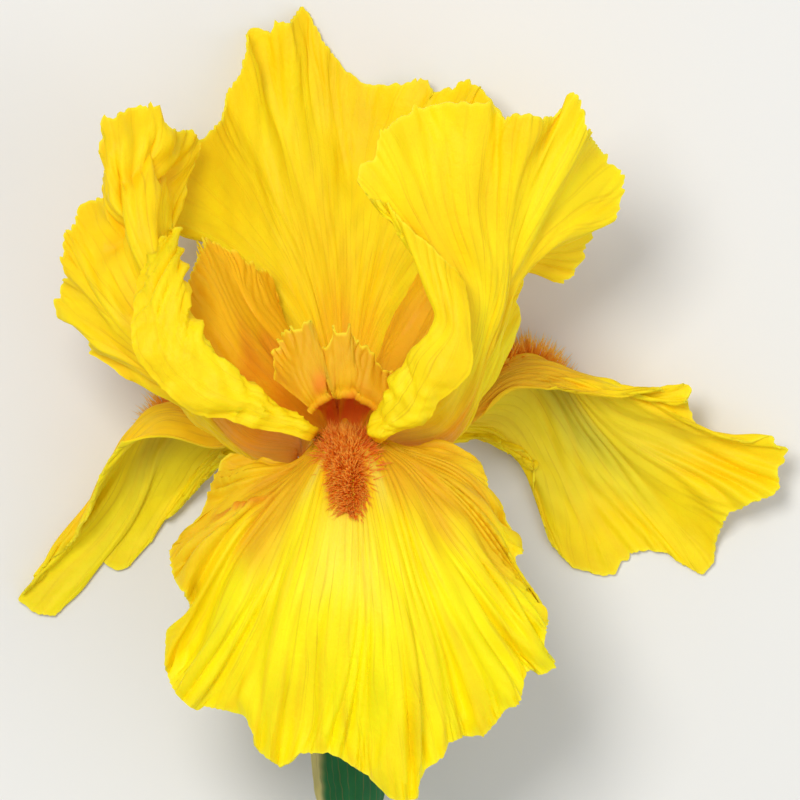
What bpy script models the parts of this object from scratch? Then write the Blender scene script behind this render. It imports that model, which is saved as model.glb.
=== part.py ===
# Bearded iris flower, cut with a short stem and lying on its back.
#
# The script works in millimetres from the middle of the throat: +X to the right, +Y the way the
# standards point, +Z out of the flower's front, which faces up. Each object is then set down in
# metres, with the origin under the middle of the whole flower.
#
# A petal is a thin sheet laid through its main veins. Every vein starts at the flower's ring, where
# the petals join the tube, and runs through a few points to the petal's edge.

import math
import random

import bmesh
import bpy
import numpy as np
from mathutils import Vector, noise

MM = 0.001

PETAL_THICK = 0.7
STYLE_THICK = 0.7
SPATHE_THICK = 0.6
GAP = 0.3  # between pieces that touch

# What the flower rests on, and the middle of its outline, from the throat
REST_HEIGHT = -36.15
MIDDLE = (10.15, -15.92)

# The ring of petal feet on top of the tube. The flower's axis leans forward by the tilt.
RING_CENTRE = np.array((0.0, -10.0, -8.0))
TILT = math.radians(13.0)
AXIS = np.array((0.0, math.cos(TILT), math.sin(TILT)))
FRONT = np.array((0.0, -math.sin(TILT), math.cos(TILT)))
RIGHT = np.array((1.0, 0.0, 0.0))
RING_RADIUS = 5.5
FOOT_HEIGHT = 0.6

# Spacing of the faces across a petal, and their rows from foot to edge
FACE_WIDTH = 3.8
PETAL_ROWS = 13
STYLE_FACE = 2.0
STYLE_ROWS = 10

# A petal is laid in fine rows to this share past its edge; its margin lies beyond the inner share
FINE_ROWS = 52
EDGE_BEYOND = 1.3
EDGE_INSIDE = 0.6

LOBE_SHARE = 0.55  # width of a lobe of the edge, of a ruffle's width


def flower_point(angle, radius, height):
    # A place round the flower's axis: 0 degrees is the front, 90 the right
    turn = math.radians(angle)
    outward = math.sin(turn) * RIGHT + math.cos(turn) * FRONT
    return RING_CENTRE + radius * outward + height * AXIS


def through(knots, points, where):
    # Smooth curve through points at rising knots, running on straight past its ends
    slopes = np.gradient(points, knots, axis=0)
    where = np.atleast_1d(where)
    first = np.clip(np.searchsorted(knots, where) - 1, 0, len(knots) - 2)
    span = knots[first + 1] - knots[first]
    part = (where - knots[first]) / span
    shape = (-1,) + (1,) * (points.ndim - 1)
    t = np.clip(part, 0.0, 1.0).reshape(shape)
    past = ((part - np.clip(part, 0.0, 1.0)) * span).reshape(shape)
    span = span.reshape(shape)
    a, b = points[first], points[first + 1]
    m, n = slopes[first] * span, slopes[first + 1] * span
    curve = (2 * t**3 - 3 * t**2 + 1) * a + (t**3 - 2 * t**2 + t) * m
    curve = curve + (3 * t**2 - 2 * t**3) * b + (t**3 - t**2) * n
    end_slope = np.where(past < 0, slopes[first], slopes[first + 1])
    return curve + past * end_slope


def chord_knots(points):
    steps = np.linalg.norm(np.diff(points, axis=0), axis=1)
    return np.concatenate(([0.0], np.cumsum(steps)))


def smooth_step(x):
    x = np.clip(x, 0.0, 1.0)
    return x * x * (3 - 2 * x)


def wander(x, seed):
    # Slow seeded noise between about -1 and 1
    return noise.noise(Vector((x, seed * 7.3, 0.5))) * 2.0


# Petals. Each vein holds where it starts across the foot (-1 to 1, rising with the angle), how much
# it is ruffled, and its points after the haft. The haft is shared by a petal's veins: radius,
# height and half angle round the flower's axis. The margin is the lobed edge as it is seen from the
# front, in the order of the veins, and cuts the sheet between two of them.

STANDARD_HAFT = [(RING_RADIUS, FOOT_HEIGHT, 22.0), (9.0, 5.5, 20.0)]
FALL_HAFT = [(RING_RADIUS, FOOT_HEIGHT, 23.0), (9.0, 6.0, 20.0), (14.0, 10.5, 15.0)]

FALL_FRONT = {
    "angle": 0.0,
    "haft": FALL_HAFT,
    "ruffle": 2.0,
    "wave": 13.0,
    "calm": 0.35,
    "scallop": 1.3,
    "seed": 1,
    "cut": (0, 12),
    "margin": [
        (-18.9, -4.9), (-22.1, -7), (-24.7, -13.1), (-26.1, -16.6), (-30, -20), (-31.2, -24),
        (-31, -27.2), (-28, -32), (-28, -34.7), (-32.2, -38), (-32.4, -43.2), (-30, -49),
        (-26.8, -51.3), (-21, -51.3), (-18, -52), (-16.2, -58), (-11.5, -61.6), (-7.9, -59),
        (-3.2, -58.9), (0, -60.3), (4, -63), (8.1, -67.1), (13.1, -67), (13.6, -63.5), (18, -59),
        (20.9, -56.2), (25, -55.8), (29.3, -50.8), (31.5, -49.5), (33.3, -43.7), (38.5, -43.2),
        (35.6, -41.5), (36, -34.9), (34, -29.7), (30.6, -27.5), (31.9, -23), (29.2, -17.5),
        (25.7, -11.5), (24.3, -6.7), (23.4, -5.8),
    ],
    "veins": [
        (-1.0, 0.5, [(-7.5, -6.3, 9), (-13, -6, 8), (-19.5, -5.2, 3)]),
        (-0.85, 1.3, [(-7.2, -6.3, 10), (-16, -10, 12), (-26, -17, 8)]),
        (-0.7, 1.7, [(-6.8, -6.2, 11), (-19, -15, 16.5), (-31.5, -24, 12)]),
        (-0.5, 1.5, [(-5.8, -6.2, 13), (-19.5, -22, 21), (-32.5, -42, 15)]),
        (-0.35, 0.9, [(-4.5, -6.4, 15), (-15, -27, 24.5), (-27, -51, 17)]),
        (-0.2, 0.8, [(-3, -6.7, 17), (-9, -29, 27), (-15, -58, 19)]),
        (0.0, 0.6, [(0.8, -7, 18.5), (0.5, -30, 28), (-2, -60, 21)]),
        (0.2, 0.8, [(3, -6.5, 17.5), (7.5, -30, 28), (11, -67.5, 20)]),
        (0.35, 0.9, [(5.5, -5.7, 15.5), (14.5, -28, 26), (25.5, -56, 19)]),
        (0.5, 1.0, [(7.5, -5.2, 13.5), (20, -22, 23), (36.5, -43.5, 17)]),
        (0.7, 1.0, [(9, -4.7, 12), (22, -15, 19), (35.3, -31, 14)]),
        (0.85, 0.8, [(10, -4.3, 10.8), (20, -7.5, 14), (29, -16, 11)]),
        (1.0, 0.5, [(10.5, -3.8, 9.3), (17, -2.7, 9.5), (23.5, -4.5, 6)]),
    ],
}

FALL_LEFT = {
    "angle": -120.0,
    "haft": FALL_HAFT,
    "ruffle": 1.5,
    "wave": 12.0,
    "calm": 0.45,
    "scallop": 1.0,
    "seed": 2,
    "rests": True,
    "cut": (6, 10),
    "margin": [
        (-53.5, -23.9), (-58.9, -31.3), (-55.3, -34), (-52.2, -34.4), (-48.2, -28.6),
        (-44.6, -23.6), (-41, -26.3), (-37.3, -23.6), (-32.9, -17.5), (-28.1, -13.1), (-24.7, -7.9),
        (-22.1, -4.5),
    ],
    "veins": [
        (1.0, 0.4, [(-22, -4, -10), (-32.5, -2, -13), (-40.5, -3, -17)]),
        (0.8, 0.4, [(-23, 0, -12.5), (-33.5, 1.5, -16.5), (-44.5, -9, -22)]),
        (0.6, 0.5, [(-23.5, 2.5, -15), (-34.5, 3.2, -20), (-42, -5, -25), (-47.5, -17.5, -28)]),
        (0.4, 0.6, [(-23.8, 4, -17), (-35, 2.5, -23), (-43.5, -10, -30), (-53, -24, -33)]),
        (0.2, 0.8, [(-23.8, 4.3, -18.5), (-34.5, 1, -25.5), (-43, -14, -32.5), (-59, -31.5, -35)]),
        (0.0, 0.3, [(-23.5, 4, -20), (-33.5, -1, -27.5), (-38.5, -14, -33.4), (-53, -34.5, -36.4)]),
        (-0.2, 0.3, [
            (-22.5, 2.5, -23), (-31, -4.5, -29.6), (-35.5, -13, -34.1), (-45.5, -24.5, -36.2),
        ]),
        (-0.4, 0.4, [(-21, 0.5, -25), (-28.5, -6, -31), (-33, -13.5, -34.6), (-41, -26.5, -36)]),
        (-0.6, 0.6, [(-19, -2, -26), (-25, -7.5, -31), (-33, -18, -34.4)]),
        (-0.8, 0.6, [(-17, -4, -25.5), (-22.4, -5.4, -29), (-26.5, -11.5, -31.5)]),
        (-1.0, 0.4, [(-15, -5.5, -23.5), (-18, -7, -26), (-22, -5, -28.5)]),
    ],
}

FALL_RIGHT = {
    "angle": 120.0,
    "haft": FALL_HAFT,
    "ruffle": 1.8,
    "wave": 13.0,
    "calm": 0.5,
    "scallop": 1.2,
    "seed": 3,
    "rests": True,
    "cut": (0, 10),
    "margin": [
        (41, 10.4), (47, 7), (49.7, 5.6), (55.3, 6.1), (61.4, 7.4), (62.6, 6.5), (61.4, 4.5),
        (63.4, -0.7), (67.7, -2.2), (72.7, -3.2), (77.2, -2), (79.3, -5), (78.3, -11.5),
        (73.3, -13.9), (68.9, -15.8), (66.6, -21.2), (66.4, -24.8), (64.4, -27), (58, -23),
        (51.7, -23), (48.5, -26.8), (43.9, -26.5), (39.2, -23.9), (35.6, -17.1), (34, -12.1),
        (34, -6.5), (31.5, -4.5), (28.1, -2.9),
    ],
    "veins": [
        (-1.0, 0.3, [(20.5, -1, -11), (30, 6.5, -15), (38, 6.5, -18), (47, 5.2, -20)]),
        (-0.8, 0.5, [
            (21, 3, -13.5), (32, 9.5, -18.5), (44, 7.8, -21.5), (53, 5.2, -22.5), (61.5, 7, -23),
        ]),
        (-0.6, 1.0, [(21.2, 5.5, -16), (33, 11.8, -22), (48, 6.5, -26), (79, -3.5, -25)]),
        (-0.4, 1.0, [(21.4, 6.6, -18), (33.8, 12.3, -24.5), (49, 1, -30), (78, -11.5, -28)]),
        (-0.2, 0.8, [(21.5, 6.8, -19.3), (34, 12.2, -26), (48, -2, -32), (68, -17.5, -32)]),
        (0.0, 0.4, [(21.4, 6.6, -20.5), (34, 11.3, -27.5), (45, -1.5, -33), (65.5, -26.2, -36)]),
        (0.2, 0.8, [(21, 5.5, -23), (33, 8, -30.5), (42, -5, -34.5), (56, -22.5, -36.4)]),
        (0.4, 0.8, [(20.5, 3.5, -25), (31.5, 4, -32), (38.5, -7, -35), (48, -26.8, -36.4)]),
        (0.6, 0.8, [(19.5, 1, -26.5), (29, 0, -31.5), (34.5, -9, -34), (39, -23.5, -35)]),
        (0.8, 0.6, [(18.5, -1.5, -26.5), (26, -2, -30), (31, -4.8, -32), (34.2, -11.5, -32.5)]),
        (1.0, 0.4, [(16.5, -3.5, -25), (22, -2.2, -28), (25, -2.7, -29), (28, -3, -29.5)]),
    ],
}

STANDARD_BACK = {
    "angle": 180.0,
    "haft": [(RING_RADIUS, FOOT_HEIGHT, 22.0), (8.0, 9.0, 22.0)],
    "ruffle": 1.6,
    "wave": 11.0,
    "calm": 0.6,
    "scallop": 1.3,
    "seed": 4,
    "rests": True,
    "cut": (0, 9),
    "margin": [
        (-24.8, 33.3), (-30.6, 34.2), (-32.4, 38.3), (-30.8, 43.2), (-26.8, 50.9), (-22.1, 54.9),
        (-18.9, 63), (-17.6, 71.1), (-13.7, 70.4), (-12.6, 72.5), (-9.9, 72.2), (-7.5, 75),
        (-3.6, 68.4), (0, 63.9), (3.1, 61.7), (9.9, 61.2), (14.9, 62.1), (15.8, 59.8), (20.3, 61.5),
        (24.3, 60.7),
    ],
    "veins": [
        (1.0, 0.4, [(-6, 12, -16), (-13.5, 21, -21.5), (-20, 28.5, -23), (-25.5, 33, -20)]),
        (0.8, 0.4, [(-4.6, 12.5, -15.5), (-11.5, 25, -22.5), (-21, 34, -22), (-32.4, 39, -17)]),
        (0.6, 0.4, [(-4.2, 13, -16), (-11, 29, -24), (-19, 41, -25), (-26.5, 51, -20)]),
        (0.45, 1.0, [(-3.4, 13, -16.5), (-9.5, 32, -25), (-16, 48, -29), (-20.5, 61, -27)]),
        (0.3, 1.0, [(-2.4, 13, -17), (-7, 34, -26), (-12, 54, -33), (-15.5, 71.5, -32)]),
        (0.1, 1.0, [(-1.2, 13, -17.2), (-3.5, 35, -26.5), (-6, 56, -35), (-8, 75, -34.5)]),
        (0.0, 0.8, [(0, 13, -17.3), (0.5, 35, -27), (0, 52, -36), (0, 64, -36.4)]),
        (-0.1, 1.0, [(1.2, 13, -17.2), (3.5, 34, -26), (6, 50, -35), (10, 61.3, -34.5)]),
        (-0.3, 1.0, [(2.4, 13, -17), (7, 33, -25.5), (13, 49, -31), (20.5, 61.5, -28)]),
        (-0.5, 0.6, [(3.4, 13, -16.5), (10, 31, -24), (19, 44, -27), (29, 55, -22)]),
        (-0.8, 0.4, [(4.2, 13, -16), (12, 27, -23.5), (22, 36, -25), (33, 42, -18)]),
        (-1.0, 0.4, [(6, 12, -16), (13.2, 22, -22), (20, 28, -23.5), (28, 31.5, -21)]),
    ],
}

# The left standard: from its back edge round the blade to the front edge, which is rolled outward
STANDARD_LEFT = {
    "angle": -60.0,
    "haft": STANDARD_HAFT,
    "ruffle": 1.5,
    "wave": 9.0,
    "calm": 0.6,
    "scallop": 1.2,
    "seed": 5,
    "cut": (0, 7.2),
    "margin": [
        (-33.5, 7.4), (-37.3, 7.9), (-41, 9), (-45.5, 12.6), (-46, 15.5), (-52, 19.4), (-52, 22.1),
        (-50.2, 27), (-50.4, 34.2), (-48.3, 37.5), (-46.8, 40.3), (-43.2, 40.9), (-43, 47),
        (-44.8, 50.2), (-43.6, 54.5), (-42.1, 54.2), (-41, 56), (-37.3, 57.4), (-33.5, 57.4),
        (-30.6, 52.9), (-26.8, 52.2), (-26.6, 50.9),
    ],
    "veins": [
        (-1.0, 0.3, [(-8.5, -7.5, -5.5), (-16, -6.5, -1.5), (-25, -1, 1), (-33.5, 7.4, -1)]),
        (-0.84, 0.8, [
            (-8.8, -6.8, -4), (-16.3, -5.8, 0.5), (-26, 1.6, 4), (-34.8, 8, 3.4), (-41, 10.5, 0),
        ]),
        (-0.68, 1.0, [
            (-9, -6, -2.5), (-16.5, -5, 2), (-27, 3.8, 6.5), (-39, 12, 7), (-52, 20, -1),
        ]),
        (-0.52, 1.0, [
            (-9, -5.2, -1), (-16.5, -4.2, 3.5), (-27.5, 6.5, 8.5), (-40, 21, 9), (-50.5, 34, -1),
        ]),
        (-0.36, 0.6, [
            (-9, -4.4, 0.5), (-16.3, -3.3, 5), (-28, 9.5, 10), (-37, 25, 7.5), (-43.3, 41, 2),
        ]),
        (-0.2, 1.0, [
            (-9, -3.6, 2), (-16, -2.3, 6.3), (-28, 12, 11.5), (-37, 31, 12), (-45, 54.5, 6),
        ]),
        (-0.04, 1.0, [
            (-8.8, -2.8, 3.5), (-15.6, -1.2, 7.5), (-28, 14, 12.5), (-35, 35, 12),
            (-36, 57.5, 3),
        ]),
        (0.15, 0.6, [
            (-8.5, -2, 5), (-15, 0, 9), (-27.8, 15.5, 13), (-32.4, 35, 3), (-30.4, 46, -9),
            (-26.4, 52.5, -12),
        ]),
        (0.3, 0.1, [
            (-8, -1, 7), (-14, 1.2, 10.5), (-27.5, 17, 13.5), (-31.4, 30, 4), (-31.4, 37.5, -6),
        ]),
        (0.5, 0.1, [
            (-7.5, -0.3, 9), (-13, 2, 12.5), (-27.3, 18, 15.5), (-30.5, 28, 10),
            (-31.8, 35.5, 0),
        ]),
        (0.7, 0.1, [
            (-6.5, 0, 13), (-12.3, 3.8, 16.5), (-27.8, 19.3, 19.5), (-29.2, 27, 17),
            (-30.2, 35, 8),
        ]),
        (0.85, 0.3, [
            (-5.4, -0.5, 8.3), (-5.2, -0.9, 15.2), (-14, 1, 18.5), (-31.5, 12.5, 21.5),
            (-34, 24, 19), (-32, 33, 10),
        ]),
        (1.0, 0.5, [
            (-5.8, -1, 8.3), (-6.4, -2.7, 15.2), (-16.5, -2.7, 17.5), (-33, 6.5, 20),
            (-38, 17, 19), (-32.5, 32, 10),
        ]),
    ],
}

# The right standard, from its rolled front edge round the blade to the back edge
STANDARD_RIGHT = {
    "angle": 60.0,
    "haft": STANDARD_HAFT,
    "ruffle": 1.6,
    "wave": 11.0,
    "calm": 0.6,
    "scallop": 1.3,
    "seed": 6,
    "cut": (4, 15),
    "margin": [
        (7.6, 40), (3.1, 42.3), (2, 44.5), (5.8, 49), (6.5, 52.9), (12.6, 56.9), (26.1, 58.1),
        (28.8, 54.9), (37.4, 55.3), (40.5, 60), (42.3, 58.5), (43.4, 53.1), (46.8, 48.6),
        (49.7, 45.9), (50.2, 42.3), (48.6, 36.9), (44.8, 35.5), (42.8, 30.2), (40.5, 26.6),
        (37.4, 25.9), (36, 27.9), (32.8, 27.5), (30.8, 22.5), (31.5, 17.8), (29.9, 16.2),
    ],
    "veins": [
        (-1.0, 0.5, [
            (5.4, -0.9, 8), (6, -3, 15.5), (15.6, 1, 21), (22, 10, 24.2), (23.3, 15.5, 24.5),
            (22.4, 20.5, 23.8), (20.8, 26.5, 21.8),
        ]),
        (-0.88, 0.3, [
            (4.8, -0.3, 8.3), (4.3, -1.6, 16), (12, 2, 21.5), (17, 11, 24.5), (20, 17, 25),
            (19.4, 22, 24.5), (17.2, 30, 23),
        ]),
        (-0.76, 0.1, [
            (4.6, 0.3, 8.3), (4, 0.2, 14.5), (8.4, 5, 19.5), (12.8, 13.5, 22.8), (17, 18.8, 24),
            (15.6, 24, 24.4), (13, 33.5, 24.3),
        ]),
        (-0.62, 0.1, [
            (5.6, 0, 8), (5.8, 1, 12.5), (9.5, 5, 17), (13, 13.5, 19.8), (17, 18.8, 21.5),
            (14.4, 25, 23), (9.6, 37, 25),
        ]),
        (-0.48, 0.4, [
            (6.4, 0.4, 11), (11.5, 3, 15.3), (17.8, 18.2, 19), (12.8, 29, 22.5), (7.5, 40, 25),
        ]),
        (-0.34, 0.8, [(7, 0, 9.5), (12.8, 2.5, 14), (19.5, 18.5, 18), (12, 34, 23), (2, 45, 27)]),
        (-0.2, 0.8, [
            (7.5, -0.5, 8), (14, 1.8, 12.5), (22, 19.5, 17), (14, 37, 22.5), (6, 52.5, 26),
        ]),
        (-0.08, 0.8, [(8, -1.2, 6.5), (15, 1, 11), (23.5, 20, 16), (18, 39, 22), (14, 56.5, 25)]),
        (0.05, 0.8, [(8.4, -2, 5), (15.8, 0, 9.5), (25, 20, 15), (23.5, 40, 21.5), (26, 58, 24)]),
        (0.2, 0.8, [
            (8.7, -2.8, 3.5), (16.5, -1, 8), (26, 19, 13.5), (28.5, 40, 20), (31, 54.5, 23),
        ]),
        (0.36, 1.0, [(8.9, -3.6, 2), (17, -2, 6.5), (27, 17.5, 12), (33, 40, 18), (41, 59.5, 18)]),
        (0.5, 1.0, [
            (9, -4.4, 0.5), (17.2, -2.8, 5), (26.5, 15.5, 10.5), (30, 26, 13), (35.5, 36.5, 15),
            (44.5, 50.5, 12),
        ]),
        (0.64, 1.0, [
            (9, -5.2, -1), (17.3, -3.5, 3.3), (26, 13.5, 9), (30.2, 25, 11), (36.5, 34, 12),
            (50, 42.5, 6),
        ]),
        (0.76, 0.8, [
            (9, -6, -2.5), (17.2, -4.2, 1.5), (26, 11, 6.5), (31.6, 27.5, 7.5), (43, 33.5, 3),
        ]),
        (0.88, 0.6, [
            (8.8, -6.8, -4), (16.8, -4.8, -0.5), (25.6, 9, 3.5), (28.8, 20, 3), (32.2, 29.2, 1),
            (40.5, 27.5, -3),
        ]),
        (1.0, 0.3, [
            (8.5, -7.5, -5.5), (16, -5.5, -3), (25, 5, -1), (29.5, 13, -4), (31.5, 19.5, -7),
        ]),
    ],
}


def vein_line(petal, vein):
    across, _, outer = vein
    inner = [
        flower_point(petal["angle"] + across * half_angle, radius, height)
        for radius, height, half_angle in petal["haft"]
    ]
    points = np.array(inner + [np.array(p, float) for p in outer])
    knots = chord_knots(points)
    return knots / knots[-1], points, knots[-1]


def lay_petal(petal):
    # The petal's veins as curves, and how far apart they run at four fifths of their length
    petal["lines"] = [vein_line(petal, vein) for vein in petal["veins"]]
    probe = np.array([through(k, p, 0.8)[0] for k, p, _ in petal["lines"]])
    petal["across"] = chord_knots(probe)
    petal["lively"] = np.array([vein[1] for vein in petal["veins"]])
    petal["lengths"] = np.array([length for _, _, length in petal["lines"]])


def petal_columns(petal, width):
    across = petal["across"]
    columns = []
    for start, end in zip(across[:-1], across[1:]):
        count = max(1, round((end - start) / width))
        columns += [start + (end - start) * i / count for i in range(count)]
    return np.array(columns + [across[-1]])


def petal_column(petal, place, stations):
    # Points of one line from foot to edge, at a distance across the petal
    stacked = np.array([through(k, p, stations) for k, p, _ in petal["lines"]])
    return through(petal["across"], stacked, place)[0]


def scallop(petal, place):
    # How far the edge stands out here: round lobes with narrow notches between them
    size = petal["wave"] * LOBE_SHARE
    turn = place / size + 0.5 * wander(place / size * 0.7, petal["seed"] + 0.3)
    lively = np.interp(place, petal["across"], petal["lively"])
    return petal["scallop"] * lively * (abs(math.sin(math.pi * turn)) - 0.6)


def crossings(line, stations, margin):
    # Stations where the line crosses the margin, seen from the front
    start, step = line[:-1, None, :2], np.diff(line[:, :2], axis=0)[:, None]
    edge, side = margin[None, :-1], np.diff(margin, axis=0)[None]
    offset = edge - start
    area = step[..., 0] * side[..., 1] - step[..., 1] * side[..., 0]
    area = np.where(np.abs(area) < 1e-9, 1e-9, area)
    along = (offset[..., 0] * side[..., 1] - offset[..., 1] * side[..., 0]) / area
    across = (offset[..., 0] * step[..., 1] - offset[..., 1] * step[..., 0]) / area
    met = (along >= 0) & (along <= 1) & (across >= 0) & (across <= 1)
    spacing = stations[1] - stations[0]
    return (stations[:-1, None] + along * spacing)[met]


def ruffle(petal, place):
    size = petal["wave"]
    turn = place / size + 0.35 * wander(place / size * 0.6, petal["seed"])
    strength = 0.8 + 0.4 * wander(place / size * 0.8, petal["seed"] + 0.6)
    return petal["ruffle"] * strength * math.sin(2 * math.pi * turn)


def petal_grid(petal, width, rows):
    # The sheet is laid past its edge, ruffled, and cut back to its margin
    lay_petal(petal)
    columns = petal_columns(petal, width)
    stations = np.linspace(0.0, EDGE_BEYOND, FINE_ROWS + 1)
    sheet = np.array([petal_column(petal, place, stations) for place in columns])
    rise = smooth_step((stations - petal["calm"]) / (1 - petal["calm"]))
    lively = np.interp(columns, petal["across"], petal["lively"])
    wave = np.array([ruffle(petal, place) for place in columns])
    sheet += grid_normals(sheet) * ((lively * wave)[:, None] * rise)[:, :, None]
    lengths = np.interp(columns, petal["across"], petal["lengths"])
    numbers = np.interp(columns, petal["across"], np.arange(len(petal["across"])))
    first, final = petal["cut"]
    margin = np.array(petal["margin"])
    grid = np.zeros((len(columns), rows + 1, 3))
    last = 1.0
    for i, place in enumerate(columns):
        met = crossings(sheet[i], stations, margin)
        met = met[met > EDGE_INSIDE]
        if len(met) and first <= numbers[i] <= final:
            last = met[np.argmin(np.abs(met - last))]
            edge = last
        else:
            edge = 1.0 + scallop(petal, place) / lengths[i]
        rows_at = edge * np.linspace(0.0, 1.0, rows + 1)
        grid[i] = np.stack([np.interp(rows_at, stations, sheet[i, :, k]) for k in range(3)], axis=1)
    if petal.get("rests"):
        grid[:, :, 2] = np.maximum(grid[:, :, 2], REST_HEIGHT + PETAL_THICK / 2)
    return grid


def grid_normals(grid):
    normals = np.cross(np.gradient(grid, axis=0), np.gradient(grid, axis=1))
    return normals / np.maximum(np.linalg.norm(normals, axis=2, keepdims=True), 1e-9)


def place_point(point):
    return (
        (point[0] - MIDDLE[0]) * MM,
        (point[1] - MIDDLE[1]) * MM,
        (point[2] - REST_HEIGHT) * MM,
    )


def material(name, colour, roughness=0.5):
    made = bpy.data.materials.new(name)
    made.use_nodes = True
    shader = made.node_tree.nodes["Principled BSDF"]
    shader.inputs["Base Color"].default_value = (*colour, 1.0)
    shader.inputs["Roughness"].default_value = roughness
    made.diffuse_color = (*colour, 1.0)
    return made


def keep(obj, name, colour, roughness=0.5):
    obj.name = name
    obj.data.name = name
    obj.data.materials.clear()
    obj.data.materials.append(material(name, colour, roughness))
    flower.objects.link(obj)
    for other in list(obj.users_collection):
        if other != flower:
            other.objects.unlink(obj)
    return obj


def add_sheet(name, grid, thickness, colour):
    # A flat grid bent into the sheet, with the same triangles on both of its faces
    columns, rows = grid.shape[0] - 1, grid.shape[1] - 1
    bpy.ops.mesh.primitive_grid_add(x_subdivisions=columns, y_subdivisions=rows, size=1.0)
    obj = bpy.context.object
    for vertex in obj.data.vertices:
        column = round((vertex.co.x + 0.5) * columns)
        row = round((vertex.co.y + 0.5) * rows)
        vertex.co = place_point(grid[column, row])
    shape = bmesh.new()
    shape.from_mesh(obj.data)
    bmesh.ops.triangulate(shape, faces=shape.faces, quad_method="SHORT_EDGE")
    shape.to_mesh(obj.data)
    shape.free()
    solid = obj.modifiers.new("thickness", "SOLIDIFY")
    solid.thickness = thickness * MM
    solid.offset = 0.0
    obj.data.shade_smooth()
    return keep(obj, name, colour)


def add_tube(name, points, radii, colour, sides=2):
    # A round piece along a line, its thickness changing from point to point
    curve = bpy.data.curves.new(name, "CURVE")
    curve.dimensions = "3D"
    curve.bevel_depth = MM
    curve.bevel_resolution = sides
    curve.use_fill_caps = True
    spline = curve.splines.new("POLY")
    spline.points.add(len(points) - 1)
    for target, point, radius in zip(spline.points, points, radii):
        target.co = (*place_point(point), 1.0)
        target.radius = radius
    obj = bpy.data.objects.new(name, curve)
    bpy.context.scene.collection.objects.link(obj)
    return keep(obj, name, colour)


# Style arms: each arches over its fall from the middle of the flower, bends at its lip and
# stands up in two fringed crests. The teeth are the fringe.

STYLE_FOOT = [(2.3, FOOT_HEIGHT, 40.0), (3.6, 8.0, 38.0)]
CREST_TOOTH = 0.6  # of a row

STYLE_FRONT = {
    "angle": 0.0,
    "haft": STYLE_FOOT,
    "veins": [
        (-1.0, 0, [
            (-4.2, 2.2, 0), (-5.6, 2.5, 9), (-6.2, 2.2, 13.5), (-7.4, 4, 14),
            (-13.7, 8.6, 10.2),
        ]),
        (-0.8, 0, [
            (-3.4, 3, 0.5), (-4.6, 3.8, 9), (-5.3, 3.4, 14), (-6.2, 5.2, 14.8),
            (-12.3, 13.8, 12.5),
        ]),
        (-0.58, 0, [
            (-2.4, 3.6, 1), (-3.4, 4.9, 9.2), (-3.8, 4.6, 14.6), (-4.6, 6.6, 15.4),
            (-9, 17.7, 15.5),
        ]),
        (-0.42, 0, [
            (-1.8, 3.9, 1), (-2.4, 5.4, 9.3), (-2.8, 5.1, 14.8), (-3.4, 7.2, 15.6),
            (-6.5, 18.8, 16),
        ]),
        (-0.3, 0, [
            (-1.3, 4, 1), (-1.8, 5.6, 9.4), (-2.1, 5.4, 15), (-2.6, 7.4, 15.7),
            (-4.4, 12.6, 15),
        ]),
        (-0.12, 0, [
            (-0.5, 4.1, 1), (-0.7, 5.8, 9.4), (-0.8, 5.5, 15), (-1, 7.5, 15.8),
            (-2.5, 16.8, 16.2),
        ]),
        (0.12, 0, [
            (0.5, 4.1, 1), (0.7, 5.8, 9.4), (0.8, 5.5, 15), (0.8, 7.5, 15.8), (0.8, 18.4, 16.5),
        ]),
        (0.4, 0, [(1.7, 3.9, 1), (2.3, 5.3, 9.3), (2.6, 4.8, 14.7), (2.8, 6.8, 15.5), (3.5, 14.2, 15)]),
        (0.72, 0, [
            (3, 3.2, 0.5), (4.2, 4.1, 9.1), (4.7, 3.6, 14.2), (5.2, 5.4, 14.9), (6.6, 11.6, 13),
        ]),
        (1.0, 0, [(4.2, 2.2, 0), (5.6, 2.5, 9), (6.2, 2.2, 13.5), (7, 3.8, 14), (9.8, 8.8, 10.3)]),
    ],
}

STYLE_LEFT = {
    "angle": -120.0,
    "haft": STYLE_FOOT,
    "veins": [
        (1.0, 0, [(-9.5, -0.5, -1.5), (-16.5, 3.4, 1), (-26, 12.2, 2.5), (-31.4, 24, -2)]),
        (0.7, 0, [(-9, 3, -2), (-14.6, 7.8, 1.2), (-22, 16.6, 2.2), (-28.6, 26, -4)]),
        (0.4, 0, [(-8.5, 5.5, -3.5), (-13, 10.5, -2), (-20, 20, -1), (-26.2, 31.5, -8)]),
        (0.1, 0, [(-8, 7, -6), (-12, 12, -6), (-17.5, 21, -7.5), (-23.4, 33, -12.5)]),
        (-0.1, 0, [(-7.5, 8.5, -7), (-12, 14.2, -7.5), (-17.6, 22.4, -8.4), (-19.8, 31, -13)]),
        (-0.4, 0, [(-7, 8.5, -9), (-10.5, 15.5, -10.5), (-14.6, 24, -13), (-16.4, 28.4, -15)]),
        (-0.7, 0, [(-6, 7, -11), (-9, 14, -13), (-12.5, 22, -16), (-14.5, 28, -18)]),
        (-1.0, 0, [(-5.5, 4.5, -11.5), (-8, 11, -14), (-11, 18, -17), (-12, 23, -18.5)]),
    ],
}

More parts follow.
